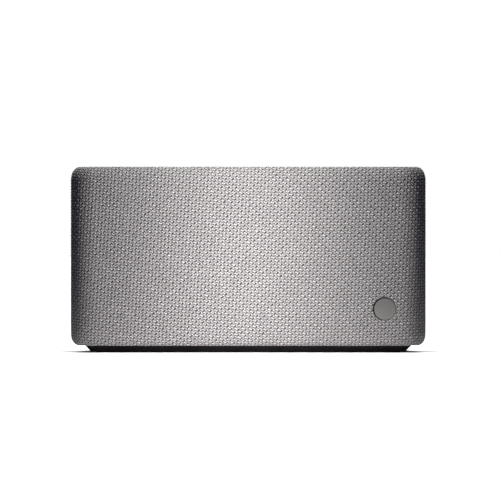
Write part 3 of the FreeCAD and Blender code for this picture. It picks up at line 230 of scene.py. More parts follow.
def cloth_to_yarns(s, t):
    """From places on the sleeve (round it, and down it) to counts of weave repeats."""
    v = t - MIDDLE
    return (s + WARP_LEAN * v) / REPEAT_WIDE, (v - np.interp(s, round_places, weft_drop)) / REPEAT_HIGH


def yarns_to_cloth(a, b):
    v = REPEAT_HIGH * b
    for _ in range(3):
        s = np.clip(REPEAT_WIDE * a - WARP_LEAN * v, -HALF_ROUND, HALF_ROUND)
        v = np.clip(REPEAT_HIGH * b + np.interp(s, round_places, weft_drop), -MIDDLE, SECTION - MIDDLE)
    return np.clip(REPEAT_WIDE * a - WARP_LEAN * v, -HALF_ROUND, HALF_ROUND), v + MIDDLE


# One repeat holds each yarn twice, the second half a repeat on. Each row: middle of the yarn's
# float in the repeat, its direction in degrees below level, half its length and its radius in mm.
WEFT_FLOAT = ((0.430, 0.072), 20.0, 0.56, 0.41)
WARP_FLOAT = ((0.915, 0.089), 66.0, 0.64, 0.30)
GAP = ((0.741, 0.248), -45.0, 0.52, 0.36)
SMALL_GAP = ((0.318, 0.240), 10.0, 0.34, 0.24)
LOW_GAP = ((0.999, 0.404), 0.0, 0.10, 0.26)


def yarn_mask(a, b, middle, lean, half_length, radius):
    way = (math.cos(math.radians(lean)), math.sin(math.radians(lean)))
    best = np.zeros_like(a)
    for half in (0.0, 0.5):
        x = a - middle[0] - half
        y = b - middle[1] - half
        x, y = (x - np.round(x)) * REPEAT_WIDE / mm, (y - np.round(y)) * REPEAT_HIGH / mm
        on = np.clip(x * way[0] + y * way[1], -half_length, half_length)
        away = np.hypot(x - on * way[0], y - on * way[1]) / radius
        best = np.maximum(best, np.exp(-away * away))
    return best


# How much each raises or sinks the cloth, in mm. The whole relief is then set a little lower.
RISES = ((WEFT_FLOAT, 0.22), (WARP_FLOAT, 0.12), (GAP, -0.16), (SMALL_GAP, -0.08), (LOW_GAP, -0.08))
ALL_SUNK = 0.08


def relief(s, t):
    a, b = cloth_to_yarns(s, t)
    return (sum(rise * yarn_mask(a, b, *shape) for shape, rise in RISES) - ALL_SUNK) * mm


badge_low, badge_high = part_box("badge_disc")
BADGE_X, BADGE_Z = (badge_low.x + badge_high.x) / 2, (badge_low.z + badge_high.z) / 2
BADGE_HOLE = (badge_high.x - badge_low.x) / 2 + 0.70 * mm
HOLE_LEFT, HOLE_UP = 0.34 * mm, 0.16 * mm
panel_low, panel_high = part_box("connector_panel")
PORTS_Z = (panel_low.z + panel_high.z) / 2
PORTS_GAP = 0.2 * mm
PORTS_HALF_X = (panel_high.x - panel_low.x) / 2 + PORTS_GAP
PORTS_HALF_Z = (panel_high.z - panel_low.z) / 2 + PORTS_GAP
PORTS_CORNER = 4.2 * mm


def from_badge(s, z):
    """How far outside the badge's hole a place on the front is. The hole is punched a little off."""
    return np.hypot(s - BADGE_X + HOLE_LEFT, z - BADGE_Z - HOLE_UP) - BADGE_HOLE


def from_ports(s, z):
    """How far outside the port window a place on the back is. x is 0 at the seam."""
    x = np.abs(HALF_ROUND - np.abs(s)) - PORTS_HALF_X + PORTS_CORNER
    y = np.abs(z - PORTS_Z) - PORTS_HALF_Z + PORTS_CORNER
    return np.hypot(np.maximum(x, 0), np.maximum(y, 0)) + np.minimum(np.maximum(x, y), 0) - PORTS_CORNER


CALM_RIM, RIM_SINK, CALM_RELIEF = 0.9 * mm, 0.16 * mm, 0.35
SEAM_WIDE, SEAM_DEEP = 0.55 * mm, 0.55 * mm
STITCH_ROW, PUCKER_WIDE, PUCKER_HIGH = 2.2 * mm, 1.1 * mm, 0.14 * mm


def on_sleeve(s, t):
    """A place on the finished cloth, yarns and all."""
    inset, z = np.interp(t, DOWN, INSET), np.interp(t, DOWN, HEIGHT)
    side, far = np.sign(s), np.abs(s)
    turn = (np.clip((far - HALF_FRONT) / EDGE, 0, math.pi / 2)
            + np.clip((far - HALF_FRONT - CORNER - 2 * HALF_SIDE) / EDGE, 0, math.pi / 2))
    nx, ny = side * np.sin(turn), -np.cos(turn)
    x = side * (np.minimum(far, HALF_FRONT) - np.maximum(far - (HALF_ROUND - HALF_FRONT), 0)) + (EDGE - inset) * nx
    y = -HALF_SIDE + np.clip(far - HALF_FRONT - CORNER, 0, 2 * HALF_SIDE) + (EDGE - inset) * ny
    out, up = -np.interp(t, DOWN, HEIGHT_RATE), -np.interp(t, DOWN, INSET_RATE)
    rim = np.where(far > HALF_ROUND - HALF_FRONT, from_ports(s, z), 1.0)
    rim = np.where(far < HALF_FRONT, from_badge(s, z), rim)
    calm = np.clip(rim / CALM_RIM, 0.0, 1.0)
    seam = np.exp(-((HALF_ROUND - far) / SEAM_WIDE) ** 2) * np.clip((z - PORTS_Z) / mm, 0, 1)
    pucker = np.exp(-((HALF_ROUND - far - STITCH_ROW) / PUCKER_WIDE) ** 2) * PUCKER_HIGH
    rise = (relief(s, t) * (CALM_RELIEF + (1 - CALM_RELIEF) * calm) - RIM_SINK * (1 - calm) ** 2
            - SEAM_DEEP * seam + pucker)
    return np.stack([x + rise * nx * out, y + rise * ny * out, z + rise * up], axis=-1)


def sleeve_normals(s, t):
    reach = 0.22 * mm
    across = on_sleeve(s + reach, t) - on_sleeve(s - reach, t)
    down = on_sleeve(s, t + reach) - on_sleeve(s, t - reach)
    n = np.cross(down, across)
    return n / np.maximum(np.linalg.norm(n, axis=-1, keepdims=True), 1e-12)


NUDGE = 0.02 * mm


def cut_window(s, t, faces, how_far):
    """Drops the cloth that is wholly inside a window and pulls what straddles its outline to the line."""
    inside = how_far(s, np.interp(t, DOWN, HEIGHT)) < 0
    faces = [f for f in faces if not inside[f].all()]
    used = np.zeros(len(s), bool)
    used[[v for f in faces for v in f]] = True
    pull = used & inside
    for _ in range(4):
        z = np.interp(t, DOWN, HEIGHT)
        d = how_far(s, z)
        gs, gz = (how_far(s + NUDGE, z) - d) / NUDGE, (how_far(s, z + NUDGE) - d) / NUDGE
        long = np.maximum(gs * gs + gz * gz, 0.25)
        s, t = np.where(pull, s - d * gs / long, s), np.where(pull, t + d * gz / long, t)
    return s, t, faces, pull


ROWS = 22                                                   # repeats up and down from the face's middle
RIM_ROLL = ((0.08, 0.04), (0.15, 0.16), (0.18, 1.10))       # a cut edge's roll: mm inward, mm back
RIM_IN = RIM_ROLL[-1][0]
FLAT_MARGIN = 0.002


def cloth_piece(name, first, last, window=None):
    """A panel of the sleeve between two warp yarns, counted in repeats from the middle of the front."""
    a, b = np.meshgrid(np.arange(round(first * STEPS), round(last * STEPS) + 1) / STEPS,
                       np.arange(-ROWS * STEPS, ROWS * STEPS + 1) / STEPS, indexing="ij")
    s, t = yarns_to_cloth(a, b)
    # Past the cloth's ends the places fall together, and each is kept once.
    key = np.stack([np.round(s / NUDGE), np.round(t / NUDGE)], axis=-1).reshape(-1, 2)
    _, kept, name_of = np.unique(key, axis=0, return_index=True, return_inverse=True)
    name_of = name_of.reshape(a.shape)
    quads = np.stack([name_of[:-1, :-1], name_of[:-1, 1:], name_of[1:, 1:], name_of[1:, :-1]], axis=-1)
    quads = quads.reshape(-1, 4)
    doubled = (np.diff(np.sort(quads, axis=1), axis=1) == 0).sum(axis=1)
    faces = quads[doubled == 0].tolist()
    for q in quads[doubled == 1].tolist():
        faces.append([v for k, v in enumerate(q) if v != q[k - 1]])
    s, t = s.reshape(-1)[kept], t.reshape(-1)[kept]
    rim_ring = []
    if window is not None:
        s, t, faces, pulled = cut_window(s, t, faces, window)
        edges = dict.fromkeys((f[k - 1], f[k]) for f in faces for k in range(len(f))
                              if pulled[f[k - 1]] and pulled[f[k]])
        rim_ring = [(p, q) for p, q in edges if (q, p) not in edges]
    where = on_sleeve(s, t)
    facing = sleeve_normals(s, t)
    # The cut edge is rolled in: each rim place gets three more, round and behind it.
    if rim_ring:
        ends = sorted({v for e in rim_ring for v in e})
        z = np.interp(t[ends], DOWN, HEIGHT)
        gs = (window(s[ends] + NUDGE, z) - window(s[ends] - NUDGE, z)) / (2 * NUDGE)
        gz = (window(s[ends], z + NUDGE) - window(s[ends], z - NUDGE)) / (2 * NUDGE)
        along_x = np.sign(where[ends, 1]) * -1.0
        inward = np.stack([-gs * along_x, np.zeros_like(gs), -gz], axis=-1)
        behind = np.stack([np.zeros_like(gs), along_x, np.zeros_like(gs)], axis=-1)
        rings = [ends]
        for into, back in RIM_ROLL:
            start = len(s)
            where = np.concatenate([where, where[ends] + inward * into * mm + behind * back * mm])
            facing = np.concatenate([facing, inward * into / RIM_IN - behind * (1 - into / RIM_IN)])
            s = np.concatenate([s, s[ends] - gs * (into + back) * mm])
            t = np.concatenate([t, t[ends] + gz * (into + back) * mm])
            rings.append(list(range(start, start + len(ends))))
        place = {v: k for k, v in enumerate(ends)}
        for p, q in rim_ring:
            for outer, inner in zip(rings, rings[1:]):
                faces.append([outer[place[q]], outer[place[p]], inner[place[p]], inner[place[q]]])
    used = np.zeros(len(s), bool)
    used[[v for f in faces for v in f]] = True
    renumber = np.cumsum(used) - 1
    faces = [[int(renumber[v]) for v in f] for f in faces]
    s, t, where, facing = s[used], t[used], where[used], facing[used]
    mesh = bpy.data.meshes.new(name)
    mesh.from_pydata(where.tolist(), [], faces)
    mesh.shade_smooth()
    corner_of = np.empty(len(mesh.loops), np.int32)
    mesh.loops.foreach_get("vertex_index", corner_of)
    a, b = cloth_to_yarns(s, t)
    yarns = mesh.uv_layers.new(name="yarns")
    yarns.data.foreach_set("uv", np.stack([a, b], axis=-1)[corner_of].astype(np.float32).ravel())
    # Laid flat in the unit square, so that the pattern can be printed off the panel.
    size = max(np.ptp(s), np.ptp(t))
    flat = np.stack([(s - s.min()) / size, (t.max() - t) / size], axis=-1)
    flat = flat * (1 - 2 * FLAT_MARGIN) + FLAT_MARGIN
    laid = mesh.uv_layers.new(name="OFBake")
    laid.data.foreach_set("uv", flat[corner_of].astype(np.float32).ravel())
    mesh.uv_layers.active = laid
    mesh.normals_split_custom_set_from_vertices(facing.tolist())
    piece = bpy.data.objects.new(name, mesh)
    scene.collection.objects.link(piece)
    return piece


cloth_front = cloth_piece("cloth_front", -22, 22, from_badge)
cloth_left = cloth_piece("cloth_left", -41, -22)
cloth_right = cloth_piece("cloth_right", 22, 41)
cloth_back_left = cloth_piece("cloth_back_left", -64, -41, from_ports)
cloth_back_right = cloth_piece("cloth_back_right", 41, 64, from_ports)
CLOTH_PIECES = (cloth_front, cloth_left, cloth_right, cloth_back_left, cloth_back_right)
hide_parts("fabric_sleeve")
for piece, repeats, under in ((cloth_front, 44, "front_shell"), (cloth_left, 19, "front_shell"),
                              (cloth_right, 19, "front_shell"), (cloth_back_left, 21, "rear_shell"),
                              (cloth_back_right, 21, "rear_shell")):
    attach(piece, "speaker_body")

# ---- The cloth sleeve: its finish ----
# Wool-look yarns dyed in the wool: a nearly white weft whose floats catch the light, a mid-grey warp
# between them, and gaps where both dive under, painted near-black as the shade that falls in them. The
# yarns are softly twisted and a little hairy.


def maths(kind, *values):
    return add_node("ShaderNodeMath", *values, operation=kind).outputs[0]


def noise(place, scale, detail=2.0, roughness=0.5, stretch=None):
    if stretch is not None:
        place = vector("MULTIPLY", place, stretch)
    node = add_node("ShaderNodeTexNoise", place)
    feed(node, Scale=scale, Detail=detail, Roughness=roughness)
    return node.outputs["Fac"]


def scale_by(value, amount):
    return vector("SCALE", value, None, None, amount)


def new_group(name, takes, gives):
    """A shader node group with named sockets. Returns its tree and its inputs."""
    tree = bpy.data.node_groups.new(name, "ShaderNodeTree")
    kinds = {"f": "NodeSocketFloat", "v": "NodeSocketVector", "c": "NodeSocketColor"}
    for label, kind, start in takes:
        socket = tree.interface.new_socket(label, in_out="INPUT", socket_type=kinds[kind])
        if start is not None:
            socket.default_value = (*start, 1.0) if kind == "c" else start
    for label, kind in gives:
        tree.interface.new_socket(label, in_out="OUTPUT", socket_type=kinds[kind])
    return tree, tree.nodes.new("NodeGroupInput").outputs, tree.nodes.new("NodeGroupOutput").inputs


def place_group(tree, group, **values):
    node = tree.nodes.new("ShaderNodeGroup")
    node.node_tree = group
    feed(node, **values)
    return node.outputs


yarn_float, given, put = new_group(
    "yarn_float",
    [("Yarns", "v", None), ("Middle", "v", None), ("Way", "v", None), ("Half length", "f", 0.5),
     ("Radius", "f", 0.4)],
    [("Mask", "f"), ("Along", "f"), ("Across", "f")])
results = []
for half in (0.0, 0.5):
    d = vector("SUBTRACT", vector("SUBTRACT", given["Yarns"], given["Middle"]), (half, half, 0.0))
    d = vector("SUBTRACT", d, vector("FLOOR", vector("ADD", d, (0.5, 0.5, 0.0))))
    d = vector("MULTIPLY", d, (REPEAT_WIDE / mm, REPEAT_HIGH / mm, 0.0))
    on = vector("DOT_PRODUCT", d, given["Way"])
    held = maths("MAXIMUM", maths("MINIMUM", on, given["Half length"]),
                 maths("MULTIPLY", given["Half length"], -1.0))
    off = vector("SUBTRACT", d, scale_by(given["Way"], held))
    away = maths("DIVIDE", vector("LENGTH", off), given["Radius"])
    mask = maths("EXPONENT", maths("MULTIPLY", maths("MULTIPLY", away, away), -1.0))
    side = vector("DOT_PRODUCT", vector("CROSS_PRODUCT", given["Way"], d), (0.0, 0.0, 1.0))
    results.append((mask, on, side))
(m1, on1, side1), (m2, on2, side2) = results
first_wins = maths("GREATER_THAN", m1, m2)


def pick(which, first, second):
    return maths("ADD", maths("MULTIPLY", which, first),
                 maths("MULTIPLY", maths("SUBTRACT", 1.0, which), second))


plug(maths("MAXIMUM", m1, m2), put["Mask"])
plug(pick(first_wins, on1, on2), put["Along"])
plug(pick(first_wins, side1, side2), put["Across"])

woven_wool, given, put = new_group(
    "woven_wool",
    [("Yarns", "v", None), ("Weft", "c", (0.8, 0.8, 0.8)), ("Warp", "c", (0.4, 0.4, 0.4)),
     ("Ground", "c", (0.3, 0.3, 0.3)), ("Gap", "c", (0.1, 0.1, 0.1)), ("Melange", "f", 0.2)],
    [("Color", "c"), ("Height", "f"), ("Roughness", "f")])
# No hand-spun yarn lies quite straight: the whole pattern is nudged by about a tenth of a millimetre.
shake = noise(given["Yarns"], 1.7, 1.0).node.outputs["Color"]
shake = vector("MULTIPLY", vector("SUBTRACT", shake, (0.5, 0.5, 0.5)), (0.20, 0.20, 0.0))
yarns = vector("ADD", given["Yarns"], shake)


def yarn(shape):
    middle, lean, half_length, radius = shape
    way = (math.cos(math.radians(lean)), math.sin(math.radians(lean)), 0.0)
    return place_group(woven_wool, yarn_float, Yarns=yarns, Middle=(*middle, 0.0), Way=way,
                       Half_length=half_length, Radius=radius)


weft, warp, gap, small_gap, low_gap = (yarn(shape) for shape, _ in RISES)
weft_on, warp_on = ramp(weft["Mask"], 0.25, 0.80), ramp(warp["Mask"], 0.25, 0.80)
# The weft float goes over two warps. Its colour is painted lighter on the two crests and greyer in the dip between
# them, a painted highlight and shade.
crest_painted_light = maths("COSINE", maths("MULTIPLY_ADD", weft["Along"], 2 * math.pi / 1.15, math.pi))
crest_painted_light = maths("MULTIPLY_ADD", crest_painted_light, 0.21, 0.79)
# The gaps, and the hollows just below each weft float, are painted near-black as painted shade. The same mask also
# sinks the bump and roughens the gaps.
gap_sunk_and_shaded = maths("MAXIMUM", ramp(gap["Mask"], 0.18, 0.80),
               maths("MULTIPLY", maths("MAXIMUM", small_gap["Mask"], low_gap["Mask"]), 0.70))
# Each yarn is two or three plies twisted: fine slanting ridges over its rounded back.
plies, warp_plies = (
    maths("SINE", maths("ADD", maths("MULTIPLY", one["Along"], along), maths("MULTIPLY", one["Across"], across)))
    for one, along, across in ((weft, 13.0, 9.0), (warp, 14.0, -10.0)))
plies, warp_plies = maths("MULTIPLY", plies, weft_on), maths("MULTIPLY", warp_plies, warp_on)
hair = noise(yarns, 34.0, 3.0, 0.6, (1.0, 2.6, 1.0))
flecks = noise(given["Yarns"], 2.3, 2.0, 0.6)
cloud = noise(given["Yarns"], 0.22, 2.0, 0.5)
colour = blend_colour(warp_on, given["Ground"], given["Warp"])
colour = blend_colour(maths("MULTIPLY", weft_on, crest_painted_light), colour, given["Weft"])
colour = blend_colour(gap_sunk_and_shaded, colour, given["Gap"])
value = maths("MULTIPLY_ADD", maths("SUBTRACT", flecks, 0.5), maths("MULTIPLY", given["Melange"], 2.0), 1.0)
# The ply ridges also ripple the colour a little, lighter on each ridge and darker in each groove: painted light
# and shade.
for pattern, middle, depth in ((hair, 0.5, 0.34), (cloud, 0.5, 0.16), (plies, 0.0, 0.045)):
    value = maths("MULTIPLY", value, maths("MULTIPLY_ADD", maths("SUBTRACT", pattern, middle), depth, 1.0))
# Warm and cool wool are carded together.
tint = blend_colour(ramp(noise(given["Yarns"], 1.1, 1.0), 0.35, 0.65), (1.01, 1.0, 0.988), (0.992, 0.998, 1.012))
plug(blend_colour(1.0, scale_by(colour, value), tint, "MULTIPLY"), put["Color"])
height = maths("MULTIPLY", weft["Mask"], 0.95)
for part, amount in ((warp["Mask"], 0.60), (gap_sunk_and_shaded, -0.95), (plies, 0.10), (warp_plies, 0.08), (hair, 0.45)):
    height = maths("MULTIPLY_ADD", part, amount, height)
plug(height, put["Height"])
plug(maths("MULTIPLY_ADD", gap_sunk_and_shaded, 0.08, 0.86), put["Roughness"])


def new_material(name, roughness=0.5, metallic=0.0):
    """A material, its node tree and its Principled shader."""
    material = bpy.data.materials.new(name)
    material.use_nodes = True
    tree = material.node_tree
    shader = tree.nodes["Principled BSDF"]
    feed(shader, Roughness=roughness, Metallic=metallic)
    return material, tree, shader


def raise_bump(shader, height, strength, distance):
    bump = shader.id_data.nodes.new("ShaderNodeBump")
    feed(bump, Height=height, Strength=strength, Distance=distance)
    feed(shader, Normal=bump.outputs["Normal"])


wool, tree, shader = new_material("grey_white_wool")
woven_place = tree.nodes.new("ShaderNodeUVMap")
woven_place.uv_map = "yarns"
# The near-black gap colour below is painted shade in the weave's holes, not a yarn's colour.
cloth = place_group(tree, woven_wool, Yarns=woven_place.outputs["UV"], Weft=(0.885, 0.863, 0.857),
                    Warp=(0.72, 0.700, 0.697), Ground=(0.360, 0.348, 0.350), Gap=(0.064, 0.058, 0.063),
                    Melange=0.48)
feed(shader, Base_Color=cloth["Color"], Roughness=cloth["Roughness"], Specular_IOR_Level=0.22,
     Sheen_Weight=0.10, Sheen_Roughness=0.45)
raise_bump(shader, cloth["Height"], 1.0, 0.22 * mm)
for piece in CLOTH_PIECES:
    piece.data.materials.append(wool)

# ---- Back seam ----
# The two ends of the cloth meet at the middle of the back, are sewn face to face, opened out and held
# down by a row of stitches on each side. The thread is a pale grey bonded nylon.


def thread(name, paths, radius, material, body):
    """Rounds of thread or wire through the given places, as one mesh."""
    curve = bpy.data.curves.new(name, "CURVE")
    curve.dimensions, curve.bevel_depth, curve.bevel_resolution = "3D", radius, 2
    curve.use_fill_caps = True
    for path in paths:
        spline = curve.splines.new("POLY")
        spline.points.add(len(path) - 1)
        for point, place in zip(spline.points, path):
            point.co = (*place, 1.0)
    helper = bpy.data.objects.new(name + "_line", curve)
    mesh = bpy.data.meshes.new_from_object(helper)
    mesh.name = name
    bpy.data.objects.remove(helper)
    mesh.shade_smooth()
    piece = bpy.data.objects.new(name, mesh)
    scene.collection.objects.link(piece)
    mesh.materials.clear()
    mesh.materials.append(material)
    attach(piece, body)
    return piece


bonded, tree, shader = new_material("bonded_thread", 0.55)
here = object_place(tree)
shade = ramp(noise(here, 900.0, 2.0), 0.3, 0.7)
feed(shader, Base_Color=blend_colour(shade, (0.30, 0.29, 0.29), (0.46, 0.45, 0.44)))
raise_bump(shader, noise(here, 2600.0, 1.0, 0.5, (1.0, 1.0, 2.4)), 0.5, 0.05 * mm)
STITCH = ((-0.25, 0.0), (0.16, 0.25), (0.24, 0.95), (0.16, 1.65), (-0.25, 1.9))      # mm out, mm up
stitches = []
for side in (-1, 1):
    z = PORTS_Z + PORTS_HALF_Z + 3.0 * mm
    while z < sleeve_high.z - CROWN_DOWN - 2.0 * mm:
        stitches.append([(side * STITCH_ROW, sleeve_high.y + out * mm, z + up * mm) for out, up in STITCH])
        z += 2.6 * mm
thread("seam_stitches", stitches, 0.17 * mm, bonded, "speaker_body")

# ---- Badge ----
# A blank disc stamped from thin aluminium, bead-blasted and lacquered grey, let into a hole in the
# cloth and held by two pegs. Its rim is slightly polished from the stamping.


def face_normal(tree):
    return tree.nodes.new("ShaderNodeNewGeometry").outputs["Normal"]


worn_edge, given, put = new_group("worn_edge", [("Radius", "f", 0.0004), ("Amount", "f", 0.5)], [("Mask", "f")])
bevel = add_node("ShaderNodeBevel", given["Radius"], samples=4)
turned = maths("SUBTRACT", 1.0, vector("DOT_PRODUCT", bevel.outputs["Normal"], face_normal(worn_edge)))
patchy = ramp(noise(object_place(worn_edge), 260.0, 3.0, 0.6), 0.35, 0.70)
edge = ramp(turned, 0.02, 0.22)
plug(maths("MULTIPLY", maths("MULTIPLY", edge, patchy), given["Amount"]), put["Mask"])

moulded_grain, given, put = new_group(
    "moulded_grain", [("Place", "v", None), ("Grain", "f", 2200.0), ("Cloudy", "f", 40.0)],
    [("Height", "f"), ("Shade", "f"), ("Gloss", "f")])
cells = add_node("ShaderNodeTexVoronoi", given["Place"], feature="SMOOTH_F1")
feed(cells, Scale=given["Grain"])
fine, flow = noise(given["Place"], given["Grain"], 3.0), noise(given["Place"], given["Cloudy"], 3.0)
plug(maths("ADD", maths("MULTIPLY", cells.outputs["Distance"], 0.8), maths("MULTIPLY", fine, 0.5)), put["Height"])
plug(flow, put["Shade"])
plug(maths("MULTIPLY_ADD", maths("SUBTRACT", flow, 0.5), 0.25, maths("MULTIPLY", fine, 0.10)), put["Gloss"])


def dress(material, *names):
    """Gives CAD nodes their finish."""
    for name in names:
        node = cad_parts[name]
        if not node.material_slots:
            node.data.materials.append(material)
        for held in node.material_slots:
            held.material = material


def moulded(name, tone, worn, roughness, grain, depth, wear, edge):
    """Moulded plastic or rubber: its spark-eroded grain, faint flow clouds and rubbed edges."""
    material, tree, shader = new_material(name, roughness)
    skin = place_group(tree, moulded_grain, Place=object_place(tree), Grain=grain)
    rubbed = place_group(tree, worn_edge, Radius=edge * mm, Amount=wear)["Mask"]
    darker, lighter = (tuple(shift * c for c in tone) for shift in (0.86, 1.16))
    colour = blend_colour(ramp(skin["Shade"], 0.3, 0.7), darker, lighter)
    feed(shader, Base_Color=blend_colour(rubbed, colour, worn),
         Roughness=maths("ADD", skin["Gloss"], maths("MULTIPLY_ADD", rubbed, -0.12, roughness - 0.05)))
    raise_bump(shader, skin["Height"], 0.35, depth * mm)
    return material, tree, shader


lacquered, tree, shader = moulded("grey_lacquered_aluminium", (0.352, 0.350, 0.335), (0.46, 0.46, 0.445),
                                  roughness=0.42, grain=5200.0, depth=0.010, wear=0.7, edge=0.30)
feed(shader, Metallic=0.35, Coat_Weight=0.25, Coat_Roughness=0.30)
dress(lacquered, "badge_disc")

# ---- Half shells and their screws ----
# Two dark ABS shells, moulded with sound slots before the drivers and the radiator, meet in a line
# round the ends. Dark zinc-plated screws pull them together through their foot flanges.
shell_plastic = moulded("dark_abs", (0.030, 0.030, 0.033), (0.075, 0.075, 0.08),
                        roughness=0.55, grain=1500.0, depth=0.05, wear=0.5, edge=0.5)[0]
dress(shell_plastic, "front_shell", "rear_shell")

machined, given, put = new_group(
    "machined_metal", [("Place", "v", None), ("Marks", "f", 1500.0), ("Way", "v", (1.0, 1.0, 12.0))],
    [("Height", "f"), ("Shade", "f"), ("Gloss", "f")])
marks = noise(given["Place"], given["Marks"], 4.0, stretch=given["Way"])
smudge = noise(given["Place"], 130.0, 3.0, 0.6)
plug(marks, put["Height"])
plug(maths("MULTIPLY_ADD", smudge, 0.6, maths("MULTIPLY", marks, 0.4)), put["Shade"])
plug(maths("MULTIPLY_ADD", maths("SUBTRACT", smudge, 0.5), 0.35, maths("MULTIPLY", marks, 0.12)), put["Gloss"])


def metal(name, dark, light, roughness, marks=1500.0, way=(1.0, 1.0, 12.0), depth=0.01, wear=0.5):
    """Plated, drawn or turned metal: tool marks along one way, smudges, brighter rubbed edges."""
    material, tree, shader = new_material(name, roughness, 1.0)
    skin = place_group(tree, machined, Place=object_place(tree), Marks=marks, Way=way)
    rubbed = place_group(tree, worn_edge, Radius=0.25 * mm, Amount=wear)["Mask"]
    colour = blend_colour(ramp(skin["Shade"], 0.3, 0.7), dark, light)
    feed(shader, Base_Color=blend_colour(rubbed, colour, tuple(min(1.0, 1.35 * c) for c in light)),
         Roughness=maths("ADD", skin["Gloss"], maths("MULTIPLY_ADD", rubbed, -0.10, roughness - 0.06)))
    raise_bump(shader, skin["Height"], 0.4, depth * mm)
    return material, tree, shader


dark_zinc = metal("dark_zinc", (0.10, 0.10, 0.105), (0.24, 0.24, 0.25), 0.38, 1800.0, (1.0, 1.0, 1.0))[0]
dress(dark_zinc, "shell_screws", "plinth_screws", "baffle_screws", "driver_screws", "radiator_screws",
      "board_screws", "panel_screws")

# ---- Plinth and foot pad ----
# A near-black matt plinth tapers in under the body and is screwed up into the cabinet. One thin
# rubber pad, let into its underside, keeps the speaker from walking.
plinth_plastic = moulded("plinth_black", (0.0150, 0.0138, 0.0145), (0.028, 0.027, 0.028),
                         roughness=0.62, grain=1700.0, depth=0.04, wear=0.5, edge=0.4)[0]
dress(plinth_plastic, "base_plinth")
pad_rubber = moulded("pad_rubber", (0.021, 0.021, 0.021), (0.05, 0.05, 0.05),
                     roughness=0.82, grain=1100.0, depth=0.06, wear=0.5, edge=0.4)[0]
dress(pad_rubber, "foot_pad", "microphone_boots")

# ---- Cabinet, baffle and gasket ----
# The tub and the baffle are moulded in black glass-filled ABS and close on a die-cut foam gasket.
# The glass fibres show as a faint pale fleck in the skin.
cabinet_plastic, tree, shader = moulded("glass_filled_abs", (0.018, 0.018, 0.0195), (0.06, 0.06, 0.062),
                                        roughness=0.48, grain=1300.0, depth=0.05, wear=0.5, edge=0.5)
here = object_place(tree)
fleck = ramp(noise(here, 1500.0, 1.0, 0.5, (1.0, 4.0, 1.0)), 0.66, 0.74)
colour = shader.inputs["Base Color"].links[0].from_socket
feed(shader, Base_Color=blend_colour(maths("MULTIPLY", fleck, 0.35), colour, (0.09, 0.09, 0.09)))
dress(cabinet_plastic, "cabinet_tub", "front_baffle", "radiator_frame", "battery_tray")

open_foam, given, put = new_group("open_foam", [("Place", "v", None), ("Cells", "f", 1400.0)],
                                  [("Height", "f"), ("Shade", "f")])
pores = add_node("ShaderNodeTexVoronoi", given["Place"], feature="DISTANCE_TO_EDGE")
feed(pores, Scale=given["Cells"])
# The pores are painted darker than the cell walls round them, as the shade inside each hollow.
pore_hollows = ramp(pores.outputs["Distance"], 0.02, 0.22)
plug(maths("SUBTRACT", 1.0, pore_hollows), put["Height"])
plug(maths("MULTIPLY", pore_hollows, ramp(noise(given["Place"], 300.0, 2.0), 0.2, 0.8, 0.6, 1.0)), put["Shade"])
foam, tree, shader = new_material("gasket_foam", 0.92)
skin = place_group(tree, open_foam, Place=object_place(tree))
feed(shader, Base_Color=blend_colour(skin["Shade"], (0.075, 0.075, 0.08), (0.018, 0.018, 0.02)))
raise_bump(shader, skin["Height"], 0.8, 0.15 * mm)
dress(foam, "baffle_gasket")

# ---- Drivers ----
# Two 46 mm full-range drivers: a pressed steel basket in black powder coat, zinc-plated plates on a
# ground ferrite ring, a copper coil, an amber woven spider, a coated paper cone and a rubber surround.


def split(place):
    return add_node("ShaderNodeSeparateXYZ", place).outputs


def stripes(place, pitch):
    """Even ridges, one to each pitch."""
    return maths("ABSOLUTE", maths("SINE", maths("MULTIPLY", place, math.pi / pitch)))


def about_axis(tree, node_name):
    """Places measured from a round piece's own middle, and how far out they lie."""
    low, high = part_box(node_name)
    middle = (low + high) / 2
    from_middle = vector("SUBTRACT", object_place(tree), tuple(middle))
    return from_middle, vector("LENGTH", vector("MULTIPLY", from_middle, (1.0, 0.0, 1.0)))


